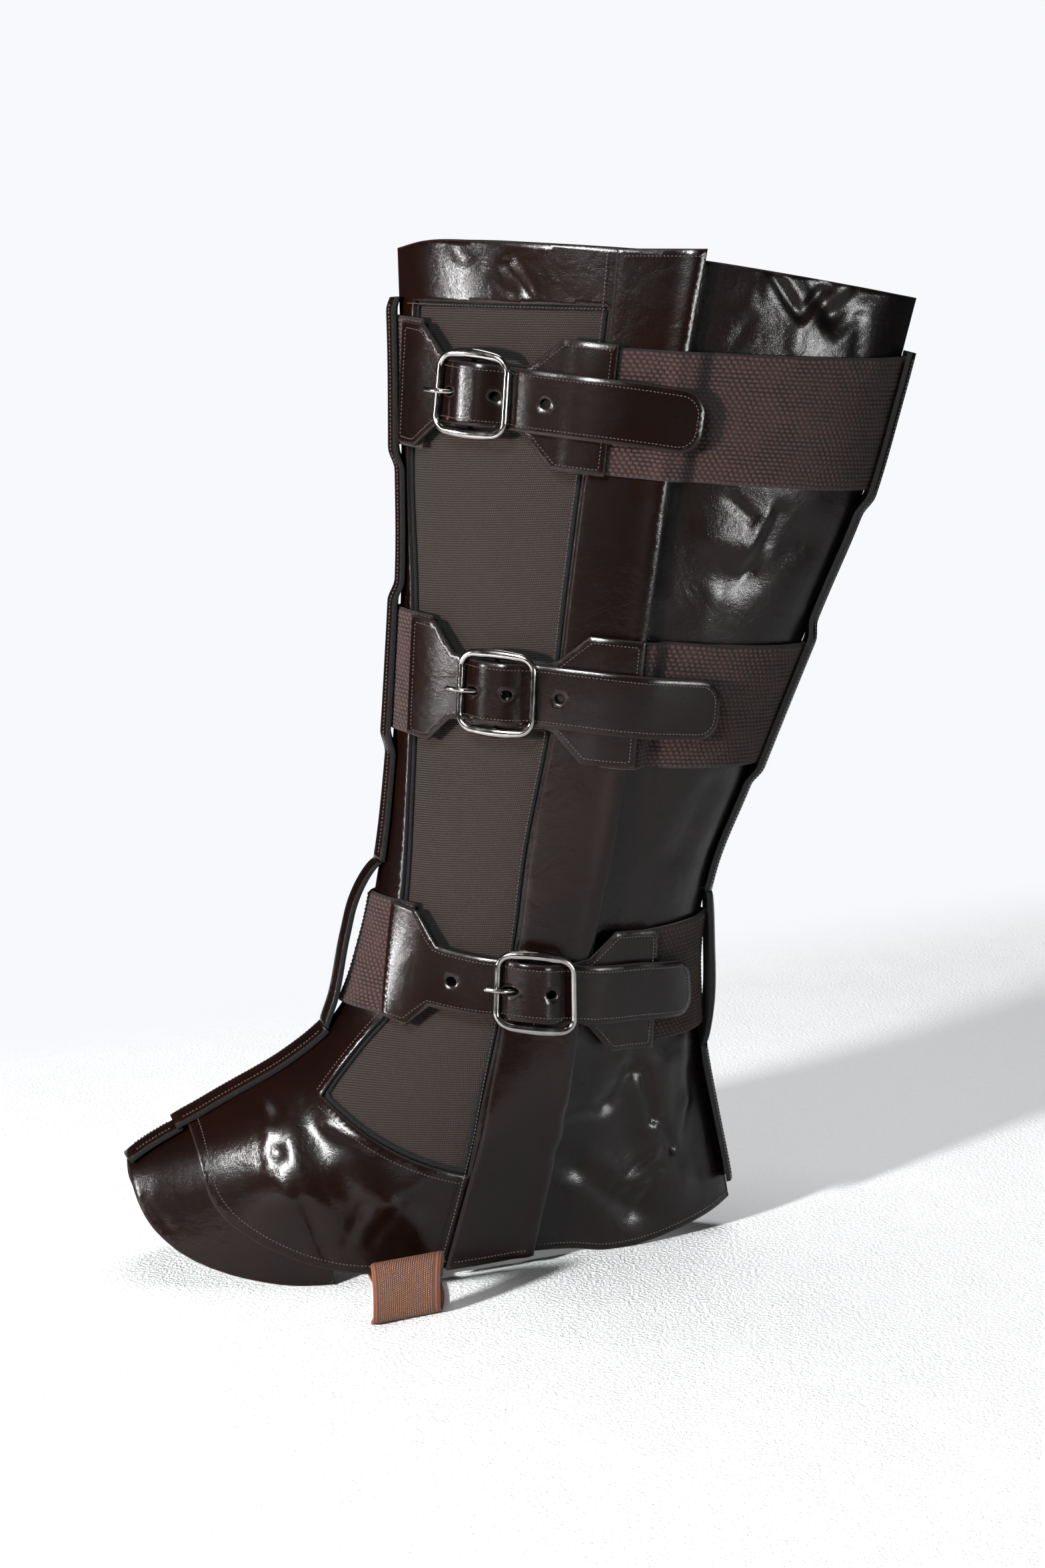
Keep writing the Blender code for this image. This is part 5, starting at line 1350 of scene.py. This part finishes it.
# %% Buckles and prongs
def tube(points, radii, ups, sides, closed):
    """Points and faces of a tube; radii are (across, along up) pairs."""
    points, radii = np.asarray(points, float), np.asarray(radii, float)
    count = len(points)
    before = np.roll(points, 1, axis=0) if closed else points[np.maximum(np.arange(count) - 1, 0)]
    after = (np.roll(points, -1, axis=0) if closed
             else points[np.minimum(np.arange(count) + 1, count - 1)])
    forward = unit(after - before)
    rise = unit(ups - forward * (ups * forward).sum(axis=1, keepdims=True))
    across = np.cross(forward, rise)
    turns = 2 * pi * (np.arange(sides) + 0.5) / sides
    rings = (points[:, None] + across[:, None] * (radii[:, :1] * np.cos(turns))[..., None]
             + rise[:, None] * (radii[:, 1:] * np.sin(turns))[..., None]).reshape(-1, 3)
    return rings, facing_out(rings, tube_faces(count, sides, closed))


def make_buckle(name, strap):
    rise, hx, hy, r = BUCKLE_RISE[name], FRAME_HALF_X, FRAME_HALF_Y, FRAME_CORNER
    corners = ((hx - r, hy - r, 0), (-hx + r, hy - r, 90), (-hx + r, -hy + r, 180),
               (hx - r, -hy + r, 270))
    path = [p for cx, cy, start in corners for p in arc(cx, cy, r, r, start, start + 90, 10)]
    path = resampled(path, 1.5)
    ends = smooth_step((np.abs(path[:, 1]) - hy + r) / r)
    ends = ends * np.cos(pi * path[:, 0] / (2 * hx))
    path[:, 1] += np.sign(path[:, 1]) * FRAME_BOW * ends
    radii = np.column_stack([SIDE_BAR_R + (END_BAR_R - SIDE_BAR_R) * ends,
                             SIDE_BAR_R + (END_BAR_DEPTH - SIDE_BAR_R) * ends])
    height = np.full(len(path), FRAME_H + rise)
    points = strap(path[:, 0], path[:, 1], height)
    ups = strap(path[:, 0], path[:, 1], height + 1) - points
    rings, faces = tube(points, radii, ups, 20, True)
    across = np.linspace(-hy - 0.4, hy + 0.4, 25)
    bar_end = FRAME_H - 0.6
    drop = bar_end - (bar_end - BAR_H) * smooth_step((hy - np.abs(across)) / 3.0)
    centre = strap(np.zeros(25), across, rise + drop)
    ups = strap(np.zeros(25), across, rise + drop + 1) - centre
    bar, bar_faces = tube(centre, np.full((25, 2), BAR_R), ups, 12, False)
    faces = faces + [tuple(i + len(rings) for i in f) for f in bar_faces]
    add_piece("buckle_" + name + "_metal", np.concatenate([rings, bar]), faces, [metal],
              stands_for=["buckle_" + name])


def make_prong(name, strap):
    rise = BUCKLE_RISE[name]
    ring = [(RING_R * cos(radians(t)), BAR_H + RING_R * sin(radians(t)))
            for t in range(120, -171, -12)]
    rod = np.array([(-4.2, 8.0), (-6.0, 8.6), (-7.6, 9.6), (-9.4, 11.0), (-11.4, 12.4),
                    (-13.6, 12.9), (-16.0, 12.8), (-17.6, 12.5)])
    far = distances(rod)
    rod = smooth_curve(np.linspace(0, far[-1], 28), far, rod)
    round_end = [rod[-1] + unit(rod[-1] - rod[-2]) * d for d in (0.35, 0.6, 0.7)]
    path = np.concatenate([ring, rod, round_end])
    points = strap(path[:, 0], np.zeros(len(path)), path[:, 1] + rise)
    sideways = strap(path[:, 0], np.ones(len(path)), path[:, 1] + rise) - points
    radii = np.concatenate([np.full(len(ring), RING_WIRE_R), np.full(len(rod), WIRE_R),
                            WIRE_R * np.array([0.88, 0.55, 0.15])])
    rings, faces = tube(points, np.column_stack([radii, radii]), sideways, 14, False)
    add_piece("prong_" + name + "_metal", rings, faces, [metal],
              stands_for=["prong_" + name])


for name, strap in maps.items():
    make_buckle(name, strap)
    make_prong(name, strap)
print("made", len(maps), "buckles with their prongs")

# %% [markdown]
# ## The elastic stirrup
# An elastic band goes under the shoe and keeps the cover down. Off the foot it is slack: it lies
# on the floor, comes out under the hem, and folds over in front of the cover. Its line is drawn
# once from the side and swept to its width. Rows of small loops between two plain edgings show
# that it is elastic.

# %% Stirrup
ELASTIC_T = 1.2
STIRRUP_X, STIRRUP_HALF, STIRRUP_TOP, STIRRUP_OUT = -67.0, 13.5, 24.0, 45.0
STIRRUP_SEWN, STIRRUP_SKEW, STIRRUP_LEAN = 14.0, 4.5, 9.0
EDGING = 3.0
ALONG, ACROSS = 420, 55                  # points along the elastic and across it


def wall_depth(x, z):
    return side_view(*find_uv(np.array([x]), np.array([z])))[2][0]


def stirrup_line(x):
    """(depth, height) line of the elastic, from inside the inner side to inside the outer side."""
    low = ELASTIC_T / 2 + 0.02
    hem = wall_depth(STIRRUP_X, 4.0)
    out = -hem - STIRRUP_OUT + STIRRUP_SKEW * (x - STIRRUP_X) / STIRRUP_HALF
    x = x + STIRRUP_LEAN
    inner = wall_depth(x, STIRRUP_SEWN)
    sewn = ELASTIC_T / 2 + 0.45
    top = STIRRUP_TOP
    return np.array([
        (inner - sewn, top - 10), (wall_depth(x, 9.0) - sewn, 9.0),
        (wall_depth(x, 5.5) - sewn - 0.4, 5.0), (hem - 3.6, 1.6), (hem - 8, low), (0, low),
        (-hem + 10, low), (-hem - 15, low), (out + 8, low), (out + 2.5, low + 0.4),
        (out - 0.2, low + 2.6), (out - 1.4, 8.0), (out - 0.9, 15.0), (out + 0.8, top - 3.4),
        (out + 3.2, top - 0.8), (out + 6.4, top - 0.6), (out + 10, top - 2.4), (out + 17, 17.4),
        (out + 27, 10.4), (-hem - 9, 4.9), (-hem - 3, 2.9), (-hem - 0.4, 2.7),
        (-wall_depth(x, 4.6) + 1.4, 3.7), (-wall_depth(x, 6.5) + sewn + 0.2, 6.5),
        (-wall_depth(x, 10.0) + sewn, 10.0), (-inner + sewn, STIRRUP_SEWN),
    ], float)


def make_stirrup():
    a = radians(SECTIONS[-1].turn)
    hem = wall_depth(STIRRUP_X, 4.0)
    top, low, stored = [], [], []
    for c in np.linspace(-1, 1, ACROSS):
        x = STIRRUP_X + STIRRUP_HALF * c
        line = stirrup_line(x)
        far = distances(line)
        along = np.linspace(0, far[-1], ALONG)
        line = smooth_curve(along, far, line)
        line[:, 1] = np.maximum(line[:, 1], ELASTIC_T / 2 + 0.02)
        near = np.clip(1 + (line[:, 0] + hem) / STIRRUP_OUT, 0, 1)
        across = x + STIRRUP_LEAN * near * (2 - near)
        n = left_of(line)
        edge = STIRRUP_HALF * (1 - abs(c))
        ridge = 0.14 * cos(2 * pi * edge / 1.45) if edge < EDGING else 0.0
        thick = ELASTIC_T / 2 * min(1.0, 0.45 + edge) + ridge
        for sheet, face in ((top, line + n * thick), (low, line - n * thick)):
            sheet.append(np.stack([across * cos(a) - face[:, 0] * sin(a),
                                   across * sin(a) + face[:, 0] * cos(a), face[:, 1]], -1))
        field = float(smooth_step((edge - EDGING + 0.3) / 0.4))
        stored.append(np.stack([along, np.full(ALONG, edge), np.full(ALONG, field)], -1))
    points = point_rows(top, low)
    sheet, count = grid_faces(ACROSS, ALONG), ACROSS * ALONG
    faces = sheet + [tuple(k + count for k in f[::-1]) for f in sheet]
    for a in range(ALONG - 1):
        b = count - ALONG + a
        faces += [(a + 1, a, a + count, a + 1 + count), (b, b + 1, b + 1 + count, b + count)]
    for j in (0, ALONG - 1):
        for a in range(j, count - ALONG, ALONG):
            quad = (a, a + ALONG, a + ALONG + count, a + count)
            faces.append(quad if j else quad[::-1])
    piece = add_piece("stirrup_elastic", points, facing_out(points, faces), [elastic], None,
                      {"weave": point_rows(stored, stored)}, ["stirrup"])
    return piece, float(stored[0][-1, 0])


stirrup, stirrup_length = make_stirrup()
print("the stirrup is", round(stirrup_length), "mm long and", 2 * STIRRUP_HALF, "mm wide")

# %% [markdown]
# ## Rows of stitches
# The rows follow the edges of the pieces at the distances that the sewing machine's foot gives:
# 3 mm on the panels, 2.4 mm on the straps and 2 mm on the strips. Each row is taken from the
# outline that it follows, moved inward, so that it stays parallel to the edge even round a corner.

# %% Stitch rows
def beside(points, distance):
    """Flat line beside a side-view line, to its left as it is drawn if the distance is positive."""
    line = to_flat(drawn(points))
    return line + left_of(line) * distance


PANEL_ROW, TOE_ROW, STRAP_ROW, STRIP_ROW = 3.2, 3.4, 2.4, 2.0    # how far inside the edges
ROW_END = 0.006                          # of v, from a strip's end to the end of its rows


def sew_panel_rows():
    on_front = on_surface(OUTER, OVER + PANEL_T)
    on_back = on_surface(OUTER, UNDER + PANEL_T)
    on_placket = on_surface(OUTER, PLACKET_LIFT + PANEL_T)
    top = PLACKET[0]
    rows = [(beside(VAMP_FRONT_EDGE, -TOE_ROW), on_front),
            (beside(WINDOW_BOTTOM, PANEL_ROW)[1:], on_front),
            (beside(WINDOW_INSTEP, 3.0)[:-1], on_front),
            (beside([(-44, 393.0), (window_back[0][0] + 2, 391.5)], 2.6), on_front),
            (beside(HEEL_HEM[:-1], PANEL_ROW), on_back),
            (beside(placket_left, 2.8)[1:-1], on_placket),
            (beside([(top.left + 2.5, top.z - 2.8), (top.right - 1.0, top.z - 2.8)], 0.0),
             on_placket),
            (beside([(-39.5, 7.8), (-7.0, 7.8)], 0.0), on_placket)]
    sew("stitches_outer_panels", rows)
    inner_front = on_surface(INNER, OVER + PANEL_T)
    inner_back = on_surface(INNER, UNDER + PANEL_T)
    rows = [(beside(VAMP_FRONT_EDGE, -TOE_ROW), inner_front),
            (beside(HEEL_HEM[:-1], PANEL_ROW), inner_back),
            (beside(placket_line(LAP - 3.0, 0.5), 0.0)[1:-1], inner_front)]
    sew("stitches_inner_panels", rows)


def sew_strip_rows():
    rows = []
    for strip in STRIPS:
        v = np.linspace(strip.v0 + ROW_END, strip.v1 - ROW_END, 60) * V_MM

        def lay(line, height, strip=strip):
            at = line[:, 1] / V_MM
            return flat_over_seam(line[:, 0], at, strip.seam, strip_lift(strip, at) + height)

        for side in (-1, 1):
            t = np.full(len(v), side * (strip.half_width - STRIP_ROW))
            rows.append((np.column_stack([t, v]), lay, PANEL_T))
    sew("stitches_strips", rows)


def sew_strap_rows(name, strap):
    tongue_rows = cleaned_inset(tongue_loop(name), STRAP_ROW)
    first = int(np.argmin(tongue_rows[:, 0] + 0.01 * np.abs(tongue_rows[:, 1])))
    tongue_rows = np.roll(tongue_rows, -first, axis=0)
    rows = [(np.concatenate([tongue_rows, tongue_rows[:1]]), lay_tongue(name, strap), TAB_T)]
    loop = cleaned_inset(back_tab_loop(), STRAP_ROW)
    keep = loop[loop[:, 0] > 14.0]
    gaps = np.linalg.norm(np.diff(keep, axis=0), axis=1)
    keep = np.roll(keep, -(int(np.argmax(gaps)) + 1), axis=0)
    rows.append((keep, lay_back_tab(name, strap), WRAP_T))
    sew("stitches_strap_" + name, rows)


sew_panel_rows()
sew_strip_rows()
for name, strap in maps.items():
    sew_strap_rows(name, strap)

# %% [markdown]
# ## Cut sizes of the cloth
# Every piece here is a sheet, cut flat before it was sewn. The sizes come from the outlines, and
# an outline that isn't a rectangle also gives its area.

# %% Cut sizes
def declare(piece, loops, rests_on):
    size = (loops[0].max(axis=0) - loops[0].min(axis=0)) * MM
    area = abs(signed_area(loops[0])) - sum(abs(signed_area(hole)) for hole in loops[1:])
    float(min(area * MM * MM, size[0] * size[1]))


for suffix, holes in (("lateral", [window_loop]), ("medial", [])):
    declare(panels["toe_" + suffix], [toe_loop()], ["vamp_" + suffix])
    declare(panels["quarter_" + suffix], [back_panel_loop()], ["vamp_" + suffix])
    declare(panels["vamp_" + suffix], [front_panel_loop(), *holes], ["quarter_" + suffix])
declare(panels["placket"], [placket_loop], ["vamp_lateral", "quarter_lateral"])
declare(canvas_piece, [grown(window_loop, CANVAS_LAP)], ["vamp_lateral"])
for name in WEBS:
    declare(tabs["tongue_" + name], [tongue_loop(name)], ["webbing_" + name])
    declare(tabs["back_tab_" + name], [back_tab_loop()], ["webbing_" + name])
for strip in (*STRIPS, *LOOPS):
    v = np.linspace(strip.v0, strip.v1, 80)
    length = distances(flat_over_seam(0.0, v, strip.seam, 0.0))[-1]
    2 * strip.half_width * MM
    "vamp_lateral" if strip.seam == 0 else "quarter_lateral"

# %% [markdown]
# ## Floor
# The cover stands on a white felted surface, which fades into a bright room. The floor is a large
# disc with a fine felt bump. Its rim turns transparent, so that no horizon cuts through the
# picture.

# %% Floor
FLOOR_X, FLOOR_R = 0.05, 0.95            # centre and radius of the disc, in metres
RIM_FADE = (494, 912)                    # mm from the cover where the floor fades out
AWAY = (-0.52, 0.854, 0.0)               # across the shadow, to its far side
BACK_FADE = (260, 480)                   # mm that way where the floor fades out too


def make_floor(rings=24, sides=96):
    points = [(FLOOR_X, 0.0, 0.0)]
    for k in range(1, rings + 1):
        r = FLOOR_R * k / rings
        points += [(r * cos(2 * pi * i / sides) + FLOOR_X, r * sin(2 * pi * i / sides), 0.0)
                   for i in range(sides)]
    faces = [(0, 1 + i, 1 + (i + 1) % sides) for i in range(sides)]
    for k in range(rings - 1):
        a, b = 1 + k * sides, 1 + (k + 1) * sides
        faces += [(a + i, b + i, b + (i + 1) % sides, a + (i + 1) % sides) for i in range(sides)]
    mesh = bpy.data.meshes.new("felt floor")
    mesh.from_pydata(points, [], faces)
    material, shader, place = new_finish("white felt", {
        "Base Color": colour(0.86, 0.865, 0.875), "Roughness": 0.95, "Specular IOR Level": 0.1})
    bumped(shader, (noise(place, 0.012), 2.0), (noise(place, 0.6, 3.0, Roughness=0.6), 0.9))
    tree = place.tree
    far = node(tree, "VectorMath", {0: place}, "Value", operation="LENGTH")
    behind = node(tree, "VectorMath", {0: place, 1: AWAY}, "Value", operation="DOT_PRODUCT")
    fade = maths("MAXIMUM", between(far, *RIM_FADE), between(behind, *BACK_FADE))
    fade = fade * node(tree, "LightPath", {}, "Is Camera Ray")
    mixed = node(tree, "MixShader", {
        0: fade, 1: Value(shader.outputs[0]), 2: node(tree, "BsdfTransparent", {})})
    wire(tree.nodes["Material Output"], {"Surface": mixed})
    mesh.materials.append(material)
    floor = bpy.data.objects.new("felt floor", mesh)
    bpy.context.scene.collection.objects.link(floor)


make_floor()
print("the floor is", 2 * FLOOR_R, "m across")

# %% [markdown]
# ## Light
# A small bright lamp stands to the left of the camera. It gives crisp shadows to the right of each
# strap and a long one on the floor, and a large softbox above fills them. Dark glossy leather shows
# its shape through reflections, so three more lamps light only those: a strip at the far left, a
# high softbox for the instep and one at the right for the calf. The room is white for the camera
# and dim as a light, or the leather would look grey.

# %% Lights and room
Lamp = namedtuple("Lamp", "name place target width tall watts lights_only")
LAMPS = table(
    Lamp,
    ("key lamp", (-0.78, -0.85, 0.36), (0, 0, 0.2), 0.11, 0.11, 40.0, "matt"),
    ("strip lamp", (-1.22, -0.50, 0.38), (0, 0, 0.30), 0.13, 0.34, 20.0, "gloss"),
    ("high softbox", (-0.37, -1.06, 0.89), (-0.09, -0.03, 0.06), 0.34, 0.42, 66.0, "gloss"),
    ("top softbox", (0.1, 0.3, 1.7), (0, 0, 0.1), 1.0, 1.0, 21.0, None),
    ("right softbox", (1.12, -0.78, 0.20), (0, 0, 0.16), 0.32, 0.32, 17.0, "gloss"),
)
for lamp in LAMPS:
    data = bpy.data.lights.new(lamp.name, "AREA")
    data.shape = "DISK" if lamp.width == lamp.tall else "ELLIPSE"
    data.size, data.size_y, data.energy = lamp.width, lamp.tall, lamp.watts
    light = bpy.data.objects.new(lamp.name, data)
    light.location = lamp.place
    aim = Vector(lamp.target) - Vector(lamp.place)
    light.rotation_euler = aim.to_track_quat("-Z", "Y").to_euler()
    light.visible_glossy = lamp.lights_only != "matt"
    light.visible_diffuse = lamp.lights_only != "gloss"
    bpy.context.scene.collection.objects.link(light)

world = bpy.data.worlds.new("bright room")
world.use_nodes = True
seen = node(world.node_tree, "LightPath", {}, "Is Camera Ray")
wire(world.node_tree.nodes["Background"],
     {"Color": colour(0.93, 0.945, 0.975), "Strength": seen * 0.95 + 0.05})
bpy.context.scene.world = world
bpy.context.scene.view_settings.view_transform = "Standard"
print("lights:", [lamp.name for lamp in LAMPS])
